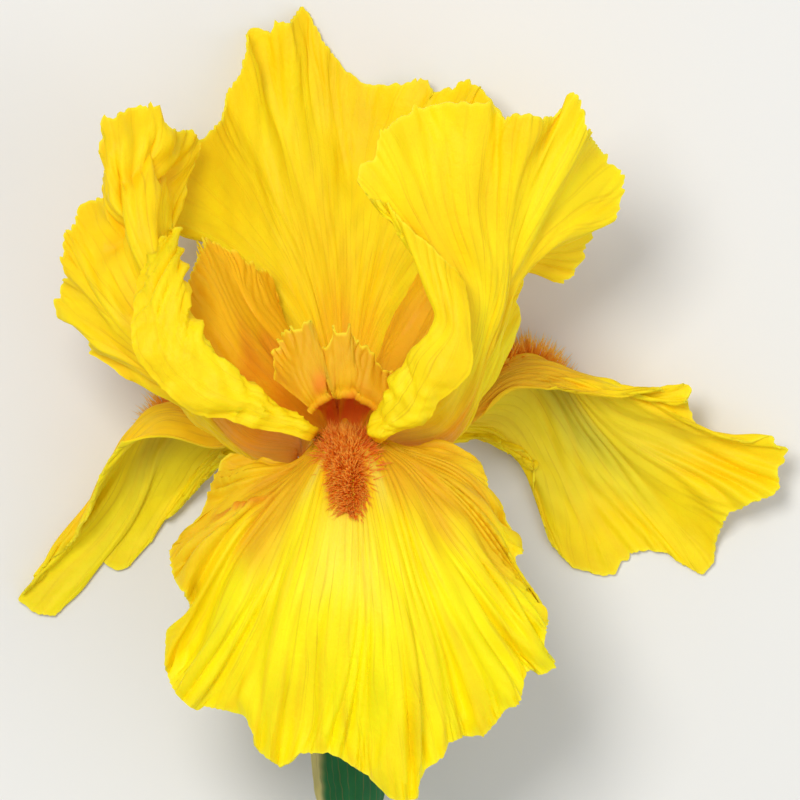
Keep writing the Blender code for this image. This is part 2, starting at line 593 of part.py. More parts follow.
STYLE_RIGHT = {
    "angle": 120.0,
    "haft": STYLE_FOOT,
    "veins": [
        (-1.0, 0, [(8.5, 0, -1), (12, 3.5, 1.5), (20, 12, 2.5), (26, 24.5, -3)]),
        (-0.7, 0, [(8.2, 3, -2), (11.5, 6.5, 0), (19, 16, 0.5), (25, 28, -6)]),
        (-0.4, 0, [(7.5, 5, -3.5), (10, 8.6, -3), (17, 19, -2.5), (23, 30.5, -9)]),
        (-0.1, 0, [(6.8, 6.5, -6), (8.8, 10, -6.5), (14.5, 20, -8), (19.5, 28.5, -12.5)]),
        (0.1, 0, [(6.2, 8, -7), (7.8, 11.8, -8), (13, 21.5, -9), (17.5, 29.5, -13.5)]),
        (0.4, 0, [(5.6, 8, -9), (6.8, 12.5, -10.5), (11, 22.5, -14), (15, 29.5, -16.5)]),
        (0.7, 0, [(5, 6.8, -10.8), (6, 11.5, -12), (9, 19.5, -14.3), (12.5, 26, -17)]),
        (1.0, 0, [(4.5, 4.5, -11.3), (5.2, 9.5, -12.3), (7.5, 16, -14.5), (10.5, 21.5, -16.8)]),
    ],
}


def style_grid(style, width, rows):
    lay_petal(style)
    columns = petal_columns(style, width)
    stations = np.linspace(0.0, 1.0, rows + 1)
    grid = np.array([petal_column(style, place, stations) for place in columns])
    # Every second line across the crests stands out as a tooth
    for i in range(1, len(columns) - 1, 2):
        grid[i, -1] += (grid[i, -1] - grid[i, -2]) * CREST_TOOTH
    return grid


# Beards: a low ridge along the middle of each fall, bristling with stiff hairs

BEARD_SPAN = {"front": (0.22, 0.45), "left": (0.25, 0.52), "right": (0.21, 0.5)}
BEARD_POINTS = 9
BEARD_RADIUS = 1.5
BEARD_HAIRS = 70
HAIR_LENGTH = 4.8
HAIR_RADIUS = 0.5
HAIR_SPREAD = (-66, 40, -22, 66, 0, -44, 22)  # degrees to either side, taken in turn
HAIR_TURN = 8.0  # degrees a hair may stray from its place in turn
HAIR_LEAN = (0.1, 0.5)  # forward, of its height
HAIR_VARIES = 0.15
END_HAIRS = 0.6  # length of the hairs at the ridge's ends, of the middle ones
RIDGE_END = 0.7  # thickness of the ridge's ends, of its middle
ROOTS_FROM = 0.15  # in steps of the ridge's points
ROOTS_SHORT = 0.3


def middle_line(petal, first, last, count):
    # Points along the petal's middle vein and the direction up out of its face
    middle = next(i for i, vein in enumerate(petal["veins"]) if vein[0] == 0.0)
    place = petal["across"][middle]
    stations = np.linspace(first, last, count)
    line = petal_column(petal, place, stations)
    beside = petal_column(petal, place + 0.5, stations)
    up = np.cross(beside - line, np.gradient(line, axis=0))
    up /= np.linalg.norm(up, axis=1, keepdims=True)
    if np.dot(up[0], AXIS) < 0:
        up = -up
    return line, up


def add_beard(side, petal, colour):
    line, up = middle_line(petal, *BEARD_SPAN[side], BEARD_POINTS)
    lift = PETAL_THICK / 2 + GAP + BEARD_RADIUS
    core = line + up * lift
    taper = [
        RIDGE_END + (1 - RIDGE_END) * math.sin(math.pi * i / (BEARD_POINTS - 1))
        for i in range(BEARD_POINTS)
    ]
    ridge = add_tube("beard_" + side, core, [BEARD_RADIUS * t for t in taper], colour, 1)
    merged = bpy.data.objects.new(ridge.name, mesh_from(ridge))
    bpy.data.objects.remove(ridge)
    bpy.context.scene.collection.objects.link(merged)
    keep(merged, "beard_" + side, colour)
    hairs = bpy.data.collections.new("hairs_" + side)
    bpy.context.scene.collection.children.link(hairs)
    draw = random.Random(40 + petal["seed"])
    knots = np.arange(len(core), dtype=float)
    along = np.gradient(core, axis=0)
    for i in range(BEARD_HAIRS):
        share = (i + draw.random()) / BEARD_HAIRS
        where = ROOTS_FROM + (len(core) - 1 - ROOTS_SHORT) * share
        root = through(knots, core, where)[0]
        forward = through(knots, along, where)[0]
        forward /= np.linalg.norm(forward)
        rise = through(knots, up, where)[0]
        cross = np.cross(forward, rise)
        stray = draw.uniform(-HAIR_TURN, HAIR_TURN)
        spread = math.radians(HAIR_SPREAD[i % len(HAIR_SPREAD)] + stray)
        lean = draw.uniform(*HAIR_LEAN)
        way = rise * math.cos(spread) + cross * math.sin(spread) + forward * lean
        way /= np.linalg.norm(way)
        full = END_HAIRS + (1 - END_HAIRS) * math.sin(math.pi * share)
        length = HAIR_LENGTH * draw.uniform(1 - HAIR_VARIES, 1 + HAIR_VARIES) * full
        add_hair(hairs, root + way * (length / 2), way, length)
    join = merged.modifiers.new("join", "BOOLEAN")
    join.operation = "UNION"
    join.operand_type = "COLLECTION"
    join.collection = hairs
    join.solver = "MANIFOLD"
    bpy.context.view_layer.objects.active = merged
    bpy.ops.object.modifier_apply(modifier=join.name)
    for obj in list(hairs.objects):
        bpy.data.objects.remove(obj)
    bpy.data.collections.remove(hairs)
    return merged


def add_hair(collection, centre, way, length):
    bpy.ops.mesh.primitive_cone_add(
        vertices=3, radius1=HAIR_RADIUS * MM, radius2=0.0, depth=length * MM, end_fill_type="NGON"
    )
    hair = bpy.context.object
    hair.rotation_mode = "QUATERNION"
    hair.rotation_quaternion = Vector(way).to_track_quat("Z", "Y")
    hair.location = place_point(centre)
    collection.objects.link(hair)
    for other in list(hair.users_collection):
        if other != collection:
            other.objects.unlink(hair)


def mesh_from(obj):
    # The curve as a mesh with its caps joined on
    evaluated = obj.evaluated_get(bpy.context.evaluated_depsgraph_get())
    mesh = bpy.data.meshes.new_from_object(evaluated)
    shape = bmesh.new()
    shape.from_mesh(mesh)
    bmesh.ops.remove_doubles(shape, verts=shape.verts, dist=0.00001)
    shape.to_mesh(mesh)
    shape.free()
    return mesh


# Stamens, hidden under the style arms: radius and height round the axis, and thickness

STAMEN_LINE = [
    (3.9, 0.7, 0.55),
    (4.6, 5.0, 0.55),
    (6.4, 9.5, 0.55),
    (6.9, 10.6, 0.8),
    (7.9, 12.0, 0.95),
    (8.8, 13.2, 0.5),
]

# The tube under the petals and the ovary below it, down the axis: height and radius

OVARY_LINE = [
    (0.0, 6.4),
    (-2.5, 4.6),
    (-6.0, 3.4),
    (-14.0, 3.2),
    (-18.0, 3.9),
    (-25.0, 4.6),
    (-36.0, 4.7),
    (-44.0, 4.0),
    (-46.0, 3.6),
]

# The stem below the ovary, down to its cut end: places from the throat and radius

STEM_TOP = -46.3

STEM_LINE = [
    ((0.1, -55.3, -18.5), 3.6),
    ((0.8, -68.0, -21.6), 3.8),
    ((1.2, -80.0, -25.0), 3.9),
    ((1.3, -92.0, -28.6), 3.9),
    ((1.2, -105.0, -31.9), 4.0),
]

# Where a spathe valve starts to close, how far it narrows, its half width at the point in degrees,
# how far it bellies out, and where its clasping base ends
SPATHE_CLOSES = 0.45
SPATHE_NARROWS = 0.95
SPATHE_POINT = 2.0
SPATHE_BELLY = 0.96
SPATHE_CLASP = 0.13

SPATHE_OUTER = {"from": -64.0, "to": -14.0, "centre": 75.0, "half": 105.0, "base": 0.4, "clear": 1.7}
SPATHE_INNER = {"from": -56.0, "to": -20.0, "centre": -115.0, "half": 95.0, "base": 0.4, "clear": 0.45}


def stalk_centre(height):
    # Middle of the ovary and stem at a height down the axis
    if height >= STEM_TOP:
        return flower_point(0.0, 0.0, height)
    line = np.array([point for point, _ in STEM_LINE])
    return through(chord_knots(line), line, STEM_TOP - height)[0]


def stalk_radius(height):
    below = chord_knots(np.array([point for point, _ in STEM_LINE]))
    stem = [(STEM_TOP - distance, radius) for distance, (_, radius) in zip(below, STEM_LINE)]
    table = sorted(OVARY_LINE + stem)
    return float(np.interp(height, [h for h, _ in table], [r for _, r in table]))


def spathe_grid(spathe, columns, rows):
    grid = np.zeros((columns + 1, rows + 1, 3))
    for j in range(rows + 1):
        v = j / rows
        height = spathe["from"] + (spathe["to"] - spathe["from"]) * v
        # Wraps the stalk below and closes to a point above
        closing = smooth_step((v - SPATHE_CLOSES) / (1.0 - SPATHE_CLOSES))
        half = spathe["half"] * (1.0 - SPATHE_NARROWS * closing) + SPATHE_POINT
        belly = SPATHE_BELLY * math.sin(math.pi * min(v * 1.2, 1.0))
        clear = spathe["base"] + (spathe["clear"] - spathe["base"]) * smooth_step(v / SPATHE_CLASP)
        radius = stalk_radius(height) + SPATHE_THICK / 2 + clear + belly
        for i in range(columns + 1):
            angle = spathe["centre"] + half * (2.0 * i / columns - 1.0)
            turn = math.radians(angle)
            outward = math.sin(turn) * RIGHT + math.cos(turn) * FRONT
            grid[i, j] = stalk_centre(height) + radius * outward
    return grid


for old in list(bpy.data.objects):
    bpy.data.objects.remove(old)

flower = bpy.data.collections.new("bearded_iris")
bpy.context.scene.collection.children.link(flower)

YELLOW = (0.95, 0.78, 0.02)
GOLD = (0.90, 0.60, 0.02)
ORANGE = (0.80, 0.22, 0.01)
GREEN = (0.20, 0.33, 0.20)
PAPER = (0.62, 0.50, 0.26)
CREAM = (0.90, 0.86, 0.62)

for name, petal in (
    ("fall_front", FALL_FRONT),
    ("fall_left", FALL_LEFT),
    ("fall_right", FALL_RIGHT),
    ("standard_back", STANDARD_BACK),
    ("standard_left", STANDARD_LEFT),
    ("standard_right", STANDARD_RIGHT),
):
    add_sheet(name, petal_grid(petal, FACE_WIDTH, PETAL_ROWS), PETAL_THICK, YELLOW)

for side, style in (("front", STYLE_FRONT), ("left", STYLE_LEFT), ("right", STYLE_RIGHT)):
    add_sheet("style_arm_" + side, style_grid(style, STYLE_FACE, STYLE_ROWS), STYLE_THICK, GOLD)
    stamen = [flower_point(style["angle"], radius, height) for radius, height, _ in STAMEN_LINE]
    add_tube("stamen_" + side, stamen, [thick for _, _, thick in STAMEN_LINE], CREAM, 1)

for side, petal in (("front", FALL_FRONT), ("left", FALL_LEFT), ("right", FALL_RIGHT)):
    add_beard(side, petal, ORANGE)

ovary_middle = [flower_point(0.0, 0.0, height) for height, _ in OVARY_LINE]
add_tube("ovary", ovary_middle, [radius for _, radius in OVARY_LINE], GREEN, 3)
add_tube("stem", [point for point, _ in STEM_LINE], [radius for _, radius in STEM_LINE], GREEN, 3)
add_sheet("spathe_outer", spathe_grid(SPATHE_OUTER, 10, 8), SPATHE_THICK, PAPER)
add_sheet("spathe_inner", spathe_grid(SPATHE_INNER, 9, 7), SPATHE_THICK, PAPER)
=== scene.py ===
import math
import random

import bpy
import numpy as np
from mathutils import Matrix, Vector, noise


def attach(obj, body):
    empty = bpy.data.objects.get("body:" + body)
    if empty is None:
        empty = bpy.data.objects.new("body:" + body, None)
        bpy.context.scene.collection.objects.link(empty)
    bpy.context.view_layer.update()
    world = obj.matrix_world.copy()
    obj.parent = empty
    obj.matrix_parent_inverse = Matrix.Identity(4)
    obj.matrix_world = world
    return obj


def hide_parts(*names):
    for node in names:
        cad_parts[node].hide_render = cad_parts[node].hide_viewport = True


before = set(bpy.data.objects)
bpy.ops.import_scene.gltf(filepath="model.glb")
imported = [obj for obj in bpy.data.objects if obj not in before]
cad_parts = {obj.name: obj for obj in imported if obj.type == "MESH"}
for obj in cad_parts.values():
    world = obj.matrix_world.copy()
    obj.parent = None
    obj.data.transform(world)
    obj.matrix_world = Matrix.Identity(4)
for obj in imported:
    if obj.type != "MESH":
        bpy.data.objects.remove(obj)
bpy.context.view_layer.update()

# The flower is worked out in millimetres from the middle of its throat: x to the right, y the way
# the standards point, z out of its front. placePoints then sets it down in the part's own frame.

mm = 0.001
layout = {
    "middle": (10.15, -15.92),
    "restHeight": -36.15,
    "ring": (0.0, -10.0, -8.0),
    "tilt": 13.0,
    "footRadius": 5.5,
    "footHeight": 0.6,
    "viewMiddle": (9.9, 4.5),
    "viewHeight": 2200.0,
}

lean = math.radians(layout["tilt"])
ringCentre = np.array(layout["ring"])
stalkWay = np.array((0.0, math.cos(lean), math.sin(lean)))
frontWay = np.array((0.0, -math.sin(lean), math.cos(lean)))
rightWay = np.array((1.0, 0.0, 0.0))


def flowerPoint(angle, radius, height):
    turn = math.radians(angle)
    outward = math.sin(turn) * rightWay + math.cos(turn) * frontWay
    return ringCentre + radius * outward + height * stalkWay


def placePoints(points):
    moved = np.array(points, float).reshape(-1, 3)
    return (moved - (*layout["middle"], layout["restHeight"])) * mm


def through(knots, points, where):
    # Smooth curve through points at rising knots, running on straight past its ends
    slopes = np.gradient(points, knots, axis=0)
    where = np.atleast_1d(where)
    first = np.clip(np.searchsorted(knots, where) - 1, 0, len(knots) - 2)
    span = knots[first + 1] - knots[first]
    part = (where - knots[first]) / span
    shape = (-1,) + (1,) * (points.ndim - 1)
    t = np.clip(part, 0.0, 1.0).reshape(shape)
    past = ((part - np.clip(part, 0.0, 1.0)) * span).reshape(shape)
    span = span.reshape(shape)
    a, b = points[first], points[first + 1]
    m, n = slopes[first] * span, slopes[first + 1] * span
    curve = (2 * t**3 - 3 * t**2 + 1) * a + (t**3 - 2 * t**2 + t) * m
    curve = curve + (3 * t**2 - 2 * t**3) * b + (t**3 - t**2) * n
    return curve + past * np.where(past < 0, slopes[first], slopes[first + 1])


def chordKnots(points):
    steps = np.linalg.norm(np.diff(points, axis=0), axis=1)
    return np.concatenate(([0.0], np.cumsum(steps)))


def smoothStep(x):
    x = np.clip(x, 0.0, 1.0)
    return x * x * (3 - 2 * x)


def wander(x, seed):
    return noise.noise(Vector((x, seed * 7.3, 0.5))) * 2.0


def patches(u, v, seed, waves=7):
    # Soft uneven patches over a surface, between about -1 and 1
    draw = random.Random(seed)
    total = 0.0
    for _ in range(waves):
        turn = draw.uniform(0, math.pi)
        pace = draw.uniform(0.5, 1.5)
        along = u * math.cos(turn) + v * math.sin(turn)
        total = total + np.sin(2 * math.pi * (pace * along + draw.random()))
    return total / math.sqrt(waves)


def folds(u, v, spacing, bend, across, along, seed):
    # Folds at an even spacing, bent to and fro by soft patches
    return np.sin(2 * math.pi * (u / spacing + bend * patches(u / across, v * along, seed)))


def unit(vectors):
    return vectors / np.maximum(np.linalg.norm(vectors, axis=1, keepdims=True), 0.01)


def srgb(red, green, blue):
    parts = (red, green, blue)
    return np.array([((c / 255 + 0.055) / 1.055) ** 2.4 if c > 10 else c / 3300 for c in parts])


palette = {
    "lemon": srgb(255, 214, 12),
    "sun": srgb(255, 227, 18),
    "bright": srgb(255, 236, 8),
    "glow": srgb(255, 158, 52),
    "gold": srgb(246, 188, 16),
    "amber": srgb(234, 156, 20),
    "orange": srgb(236, 134, 22),
    "ember": srgb(244, 124, 40),
    "ochre": srgb(228, 172, 28),
    "cream": srgb(255, 240, 110),
    "lime": srgb(214, 208, 56),
    "green": srgb(150, 160, 62),
    # the paler yellow of the painted highlight along the margins
    "rim": srgb(255, 234, 48),
}


def blendColour(first, second, share):
    return first + (second - first) * np.clip(share, 0.0, 1.0)[..., None]


# Materials


def addNode(tree, kind, values=None, **settings):
    node = tree.nodes.new(kind)
    for key, value in settings.items():
        setattr(node, key, value)
    for key, value in (values or {}).items():
        if isinstance(value, bpy.types.NodeSocket):
            tree.links.new(value, node.inputs[key])
        else:
            node.inputs[key].default_value = value
    return node


def addMath(tree, operation, first, second=0.0):
    return addNode(tree, "ShaderNodeMath", {0: first, 1: second}, operation=operation).outputs[0]


def addRange(tree, value, low, high, start, end):
    values = {"Value": value, "From Min": low, "From Max": high, "To Min": start, "To Max": end}
    return addNode(tree, "ShaderNodeMapRange", values, interpolation_type="SMOOTHSTEP").outputs["Result"]


def addNoise(tree, across, along, acrossPace, alongPace, detail=2.0):
    vector = addNode(
        tree,
        "ShaderNodeCombineXYZ",
        {0: addMath(tree, "MULTIPLY", across, acrossPace), 1: addMath(tree, "MULTIPLY", along, alongPace)},
    )
    values = {"Vector": vector.outputs[0], "Scale": 1.0, "Detail": detail}
    return addNode(tree, "ShaderNodeTexNoise", values).outputs["Fac"]


petalFinish = {"veinSpacing": 2.0, "roughness": 0.55, "soft": 0.3, "relief": 0.0003}


def veinedMaterial(name, veinColour, finish):
    # Fine veins fan out along the piece's own map: across it in centimetres, along it from 0 to 1
    made = bpy.data.materials.new(name)
    made.use_nodes = True
    tree = made.node_tree
    shader = tree.nodes["Principled BSDF"]
    parts = addNode(
        tree, "ShaderNodeSeparateXYZ", {0: addNode(tree, "ShaderNodeUVMap", uv_map="UVMap").outputs[0]}
    )
    across, along = parts.outputs[0], parts.outputs[1]
    tint = addNode(tree, "ShaderNodeAttribute", attribute_name="tint")
    drift = addNoise(tree, across, along, 1.6, 2.4)
    number = addMath(tree, "MULTIPLY", across, 10.0 / finish["veinSpacing"])
    number = addMath(tree, "ADD", number, addMath(tree, "MULTIPLY", drift, 2.2))
    near = addMath(tree, "ABSOLUTE", addMath(tree, "SUBTRACT", addMath(tree, "FRACT", number), 0.5))
    mainLine = addRange(tree, near, 0.01, 0.1, 1.0, 0.0)
    number = addMath(tree, "ADD", number, addMath(tree, "ADD", addMath(tree, "MULTIPLY", drift, 0.7), 0.5))
    near = addMath(tree, "ABSOLUTE", addMath(tree, "SUBTRACT", addMath(tree, "FRACT", number), 0.5))
    sideLine = addRange(tree, near, 0.0, 0.08, 0.8, 0.0)
    sideLine = addMath(tree, "MULTIPLY", sideLine, addRange(tree, along, 0.35, 0.6, 0.0, 1.0))
    line = addMath(tree, "MAXIMUM", mainLine, sideLine)
    breaks = addRange(tree, addNoise(tree, across, along, 5.0, 9.0), 0.35, 0.6, 0.3, 1.0)
    line = addMath(tree, "MULTIPLY", line, breaks)
    share = addMath(tree, "MULTIPLY", line, tint.outputs["Alpha"])
    colour = addNode(tree, "ShaderNodeMix", data_type="RGBA")
    tree.links.new(share, colour.inputs["Factor"])
    tree.links.new(tint.outputs["Color"], colour.inputs[6])
    colour.inputs[7].default_value = (*veinColour, 1.0)
    tree.links.new(colour.outputs[2], shader.inputs["Base Color"])
    place = addNode(tree, "ShaderNodeTexCoord").outputs["Object"]
    grain = {"Vector": place, "Scale": 520.0, "Detail": 4.0, "Distortion": 0.6}
    crepe = addNode(tree, "ShaderNodeTexNoise", grain)
    height = addMath(tree, "SUBTRACT", crepe.outputs["Fac"], addMath(tree, "MULTIPLY", line, 0.16))
    dents = {"Height": height, "Strength": 0.6, "Distance": finish["relief"]}
    bump = addNode(tree, "ShaderNodeBump", dents)
    tree.links.new(bump.outputs[0], shader.inputs["Normal"])
    shader.inputs["Roughness"].default_value = finish["roughness"]
    shader.inputs["Specular IOR Level"].default_value = 0.18
    shader.inputs["Subsurface Weight"].default_value = finish["soft"]
    shader.inputs["Subsurface Radius"].default_value = (1.0, 0.62, 0.12)
    shader.inputs["Subsurface Scale"].default_value = 0.0016
    return made


def tintedMaterial(name, roughness, soft=0.0, glow=0.0):
    made = bpy.data.materials.new(name)
    made.use_nodes = True
    tree = made.node_tree
    shader = tree.nodes["Principled BSDF"]
    tint = addNode(tree, "ShaderNodeAttribute", attribute_name="tint")
    tree.links.new(tint.outputs["Color"], shader.inputs["Base Color"])
    shader.inputs["Roughness"].default_value = roughness
    shader.inputs["Subsurface Weight"].default_value = soft
    shader.inputs["Subsurface Radius"].default_value = (1.0, 0.5, 0.12)
    shader.inputs["Subsurface Scale"].default_value = 0.001
    # painted glow: the tint also shines faintly, standing in for light that passes through
    if glow:
        tree.links.new(tint.outputs["Color"], shader.inputs["Emission Color"])
        shader.inputs["Emission Strength"].default_value = glow
    return made


petalSkin = veinedMaterial("petalSkin", srgb(160, 96, 12), petalFinish)
# the beard hairs carry a faint painted glow
beardHair = tintedMaterial("beardHair", 0.5, 0.3, 0.05)
stalkSkin = tintedMaterial("stalkSkin", 0.42, 0.1)
spatheFinish = {"veinSpacing": 1.1, "roughness": 0.6, "soft": 0.2, "relief": 0.0002}
spatheSkin = veinedMaterial("spatheSkin", srgb(120, 104, 60), spatheFinish)
print("materials made")


def setTint(obj, colours):
    layer = obj.data.color_attributes.new(name="tint", type="FLOAT_COLOR", domain="POINT")
    layer.data.foreach_set("color", np.asarray(colours, np.float32).ravel())


def finishPiece(obj, node, material):
    obj.name = node + "_look"
    obj.data.name = obj.name
    obj.data.materials.clear()
    obj.data.materials.append(material)
    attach(obj, "root")
    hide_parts(node)
    return obj


def gridNormals(grid):
    normals = np.cross(np.gradient(grid, axis=0), np.gradient(grid, axis=1))
    return normals / np.maximum(np.linalg.norm(normals, axis=2, keepdims=True), 1e-9)


def makeShell(grid, places, along, thickness, outer, inner):
    # A flat grid bent into the sheet, given its thickness, with a tint for each of its faces
    columns, rows = grid.shape[0], grid.shape[1]
    bpy.ops.object.select_all(action="DESELECT")
    bpy.ops.mesh.primitive_grid_add(x_subdivisions=columns - 1, y_subdivisions=rows - 1, size=1.0)
    obj = bpy.context.object
    mesh = obj.data
    flat = np.empty(len(mesh.vertices) * 3, np.float32)
    mesh.vertices.foreach_get("co", flat)
    flat = flat.reshape(-1, 3)
    column = np.rint((flat[:, 0] + 0.5) * (columns - 1)).astype(int)
    row = np.rint((flat[:, 1] + 0.5) * (rows - 1)).astype(int)
    mesh.vertices.foreach_set("co", placePoints(grid[column, row]).astype(np.float32).ravel())
    corner = np.empty(len(mesh.loops), np.int32)
    mesh.loops.foreach_get("vertex_index", corner)
    uv = np.stack([places[column[corner]] / 10.0, along[row[corner]]], axis=1)
    mesh.uv_layers["UVMap"].data.foreach_set("uv", uv.astype(np.float32).ravel())
    mesh.update()
    shell = obj.modifiers.new("thickness", "SOLIDIFY")
    shell.thickness = thickness * mm
    shell.offset = 0.0
    bpy.ops.object.modifier_apply(modifier=shell.name)
    setTint(obj, np.concatenate([outer[column, row], inner[column, row]]))
    bpy.ops.object.shade_smooth_by_angle(angle=math.radians(65))
    return obj


# Petals. Each vein holds where it starts across the foot, how much it is ruffled, and its points
# after the haft. The margin is the lobed edge as it is seen from the front, and cuts the sheet
# between two of the veins.

standardHaft = [(layout["footRadius"], layout["footHeight"], 22.0), (9.0, 5.5, 20.0)]
fallHaft = [(layout["footRadius"], layout["footHeight"], 23.0), (9.0, 6.0, 20.0), (14.0, 10.5, 15.0)]
sheetWork = {
    "fineRows": 150,
    "beyond": 1.3,
    "inside": 0.6,
    "roughSpacing": 1.5,
    "columns": 460,
    "evenShare": 0.35,
    "rows": 96,
    "crowding": 1.25,
    "thickness": 0.45,
    "clear": 0.05,
    "ease": 0.7,
}
edgeWork = {
    "reach": 5.0,
    "most": 5.0,
    "tooFar": 8.0,
    "step": 0.5,
    "fringe": 0.95,
    "fringeWave": 1.8,
    "fringeReach": 2.6,
}


def veinLine(petal, vein):
    across, _, outer = vein
    inner = [
        flowerPoint(petal["angle"] + across * halfAngle, radius, height)
        for radius, height, halfAngle in petal["haft"]
    ]
    points = np.array(inner + [np.array(p, float) for p in outer])
    knots = chordKnots(points)
    return knots / knots[-1], points, knots[-1]


def layPetal(petal):
    petal["lines"] = [veinLine(petal, vein) for vein in petal["veins"]]
    probe = np.array([through(k, p, 0.8)[0] for k, p, _ in petal["lines"]])
    petal["across"] = chordKnots(probe)
    petal["lively"] = np.array([vein[1] for vein in petal["veins"]], float)
    petal["lengths"] = np.array([length for _, _, length in petal["lines"]])


def petalSheet(petal, places, stations):
    stacked = np.array([through(k, p, stations) for k, p, _ in petal["lines"]])
    return through(petal["across"], stacked, places)


def scallop(petal, place):
    size = petal["wave"] * 0.55
    turn = place / size + 0.5 * wander(place / size * 0.7, petal["seed"] + 0.3)
    lively = np.interp(place, petal["across"], petal["lively"])
    return petal["scallop"] * lively * (abs(math.sin(math.pi * turn)) - 0.6)


def ruffle(petal, place):
    size = petal["wave"]
    turn = place / size + 0.35 * wander(place / size * 0.6, petal["seed"])
    strength = 0.8 + 0.4 * wander(place / size * 0.8, petal["seed"] + 0.6)
    return petal["ruffle"] * strength * math.sin(2 * math.pi * turn)


def crossings(line, stations, margin):
    start, step = line[:-1, None, :2], np.diff(line[:, :2], axis=0)[:, None]
    edge, side = margin[None, :-1], np.diff(margin, axis=0)[None]
    offset = edge - start
    area = step[..., 0] * side[..., 1] - step[..., 1] * side[..., 0]
    area = np.where(np.abs(area) < 1e-9, 1e-9, area)
    along = (offset[..., 0] * side[..., 1] - offset[..., 1] * side[..., 0]) / area
    across = (offset[..., 0] * step[..., 1] - offset[..., 1] * step[..., 0]) / area
    met = (along >= 0) & (along <= 1) & (across >= 0) & (across <= 1)
    return (stations[:-1, None] + along * (stations[1] - stations[0]))[met]


def petalEdge(petal, sheet, places, stations, numbers):
    # The station of the edge in every column: on the margin, or where the veins end
    margin = np.array(petal["margin"])
    first, final = petal["cut"]
    lengths = np.interp(places, petal["across"], petal["lengths"])
    edge = np.full(len(places), np.nan)
    last = 1.0
    for i, place in enumerate(places):
        if not first <= numbers[i] <= final:
            edge[i] = 1.0 + scallop(petal, place) / lengths[i]
            continue
        met = crossings(sheet[i], stations, margin)
        met = met[met > sheetWork["inside"]]
        if len(met):
            last = met[np.argmin(np.abs(met - (1.0 + 0.5 * (last - 1.0))))]
            edge[i] = last
    known = ~np.isnan(edge)
    edge = np.interp(places, places[known], edge[known])
    limit = 3.6 * np.gradient(places) / lengths
    for i in range(1, len(edge)):
        edge[i] = min(max(edge[i], edge[i - 1] - limit[i]), edge[i - 1] + limit[i])
    return edge


def spreadLine(points, step):
    # Points at even steps along a line of straight stretches
    line = np.array(points, float)
    knots = chordKnots(line)
    where = np.linspace(0.0, knots[-1], max(2, round(knots[-1] / step) + 1))
    return np.stack([np.interp(where, knots, line[:, k]) for k in range(line.shape[1])], axis=1)


def matchLines(path, margin):
    # Pairs every point of the path with its place on the measured margin, in order along both
    gap = ((path[:, None] - margin[None]) ** 2).sum(axis=2)
    total = np.full(gap.shape, np.inf)
    total[0] = gap[0]
    for i in range(1, len(path)):
        row, above = total[i], total[i - 1]
        best = np.minimum(above, np.concatenate(([np.inf], above[:-1])))
        for j in range(len(margin)):
            before = best[j] if j == 0 else min(best[j], row[j - 1])
            row[j] = gap[i, j] + before
    i, j = len(path) - 1, int(np.argmin(total[-1]))
    sums, counts = np.zeros(path.shape), np.zeros(len(path))
    while True:
        sums[i] += margin[j]
        counts[i] += 1
        if i == 0:
            break
        choices = [(total[i - 1, j], i - 1, j)]
        if j > 0:
            choices += [(total[i - 1, j - 1], i - 1, j - 1), (total[i, j - 1], i, j - 1)]
        _, i, j = min(choices)
    return sums / counts[:, None]


def pullTo(path, margin):
    # How far the path moves, seen from the front, to lie on the margin
    view = np.array(layout["viewMiddle"])
    depth = (layout["viewHeight"] - path[:, 2:]) / layout["viewHeight"]
    seen = view + (path[:, :2] - view) / depth
    pull = (matchLines(seen, spreadLine(margin, edgeWork["step"])) - seen) * depth
    size = np.linalg.norm(pull, axis=1, keepdims=True)
    held = np.minimum(1.0, edgeWork["most"] / np.maximum(size, 0.01))
    pull = pull * np.where(size > edgeWork["tooFar"], 0.0, held)
    padded = np.concatenate((pull[:1], pull, pull[-1:]))
    return (padded[:-2] + 2 * padded[1:-1] + padded[2:]) / 4


def toMargin(grid):
    # How far every point lies from the margin, along the sheet
    steps = np.linalg.norm(np.diff(grid, axis=1), axis=2)
    return np.concatenate([np.cumsum(steps[:, ::-1], axis=1)[:, ::-1], np.zeros((len(grid), 1))], axis=1)


def settleEdge(petal, grid, places, numbers):
    # Brings the lobes of the margin to where they were measured, and leaves the middle as it is
    first, final = petal.get("settle") or petal["cut"]
    chosen = (numbers >= first) & (numbers <= final)
    moves = np.zeros((len(places), 2))
    moves[chosen] = pullTo(grid[chosen, -1], petal["margin"])
    if not petal.get("wholeEdge"):
        moves *= (smoothStep((numbers - first) / 0.4) * smoothStep((final - numbers) / 0.4))[:, None]
    reach = edgeWork["reach"] + 2.0 * np.linalg.norm(moves, axis=1)
    weight = 1 - smoothStep(toMargin(grid) / reach[:, None])
    grid[:, :, :2] += moves[:, None, :] * weight[:, :, None]
    for side, start, hem in petal.get("hems", []):
        rows = np.arange(grid.shape[1]) / (grid.shape[1] - 1) >= start
        column = 0 if side == "first" else -1
        moves = np.zeros((grid.shape[1], 2))
        moves[rows] = pullTo(grid[column, rows], hem)
        steps = np.linalg.norm(np.diff(grid, axis=0), axis=2)
        if side == "last":
            away = np.concatenate([np.cumsum(steps[::-1], axis=0)[::-1], np.zeros((1, grid.shape[1]))])
        else:
            away = np.concatenate([np.zeros((1, grid.shape[1])), np.cumsum(steps, axis=0)])
        reach = edgeWork["reach"] + 2.0 * np.linalg.norm(moves, axis=1)
        weight = 1 - smoothStep(away / reach[None, :])
        grid[:, :, :2] += moves[None] * weight[:, :, None]


def fringeTeeth(around, bend, spacing, size):
    # Teeth along an edge. Spacing and size each have a place in the patches and a seed
    turn = around / edgeWork["fringeWave"] + bend * patches(around / 11, *spacing)
    return (np.abs(np.sin(math.pi * turn)) - 0.55) * (0.75 + 0.6 * patches(around / 7, *size))


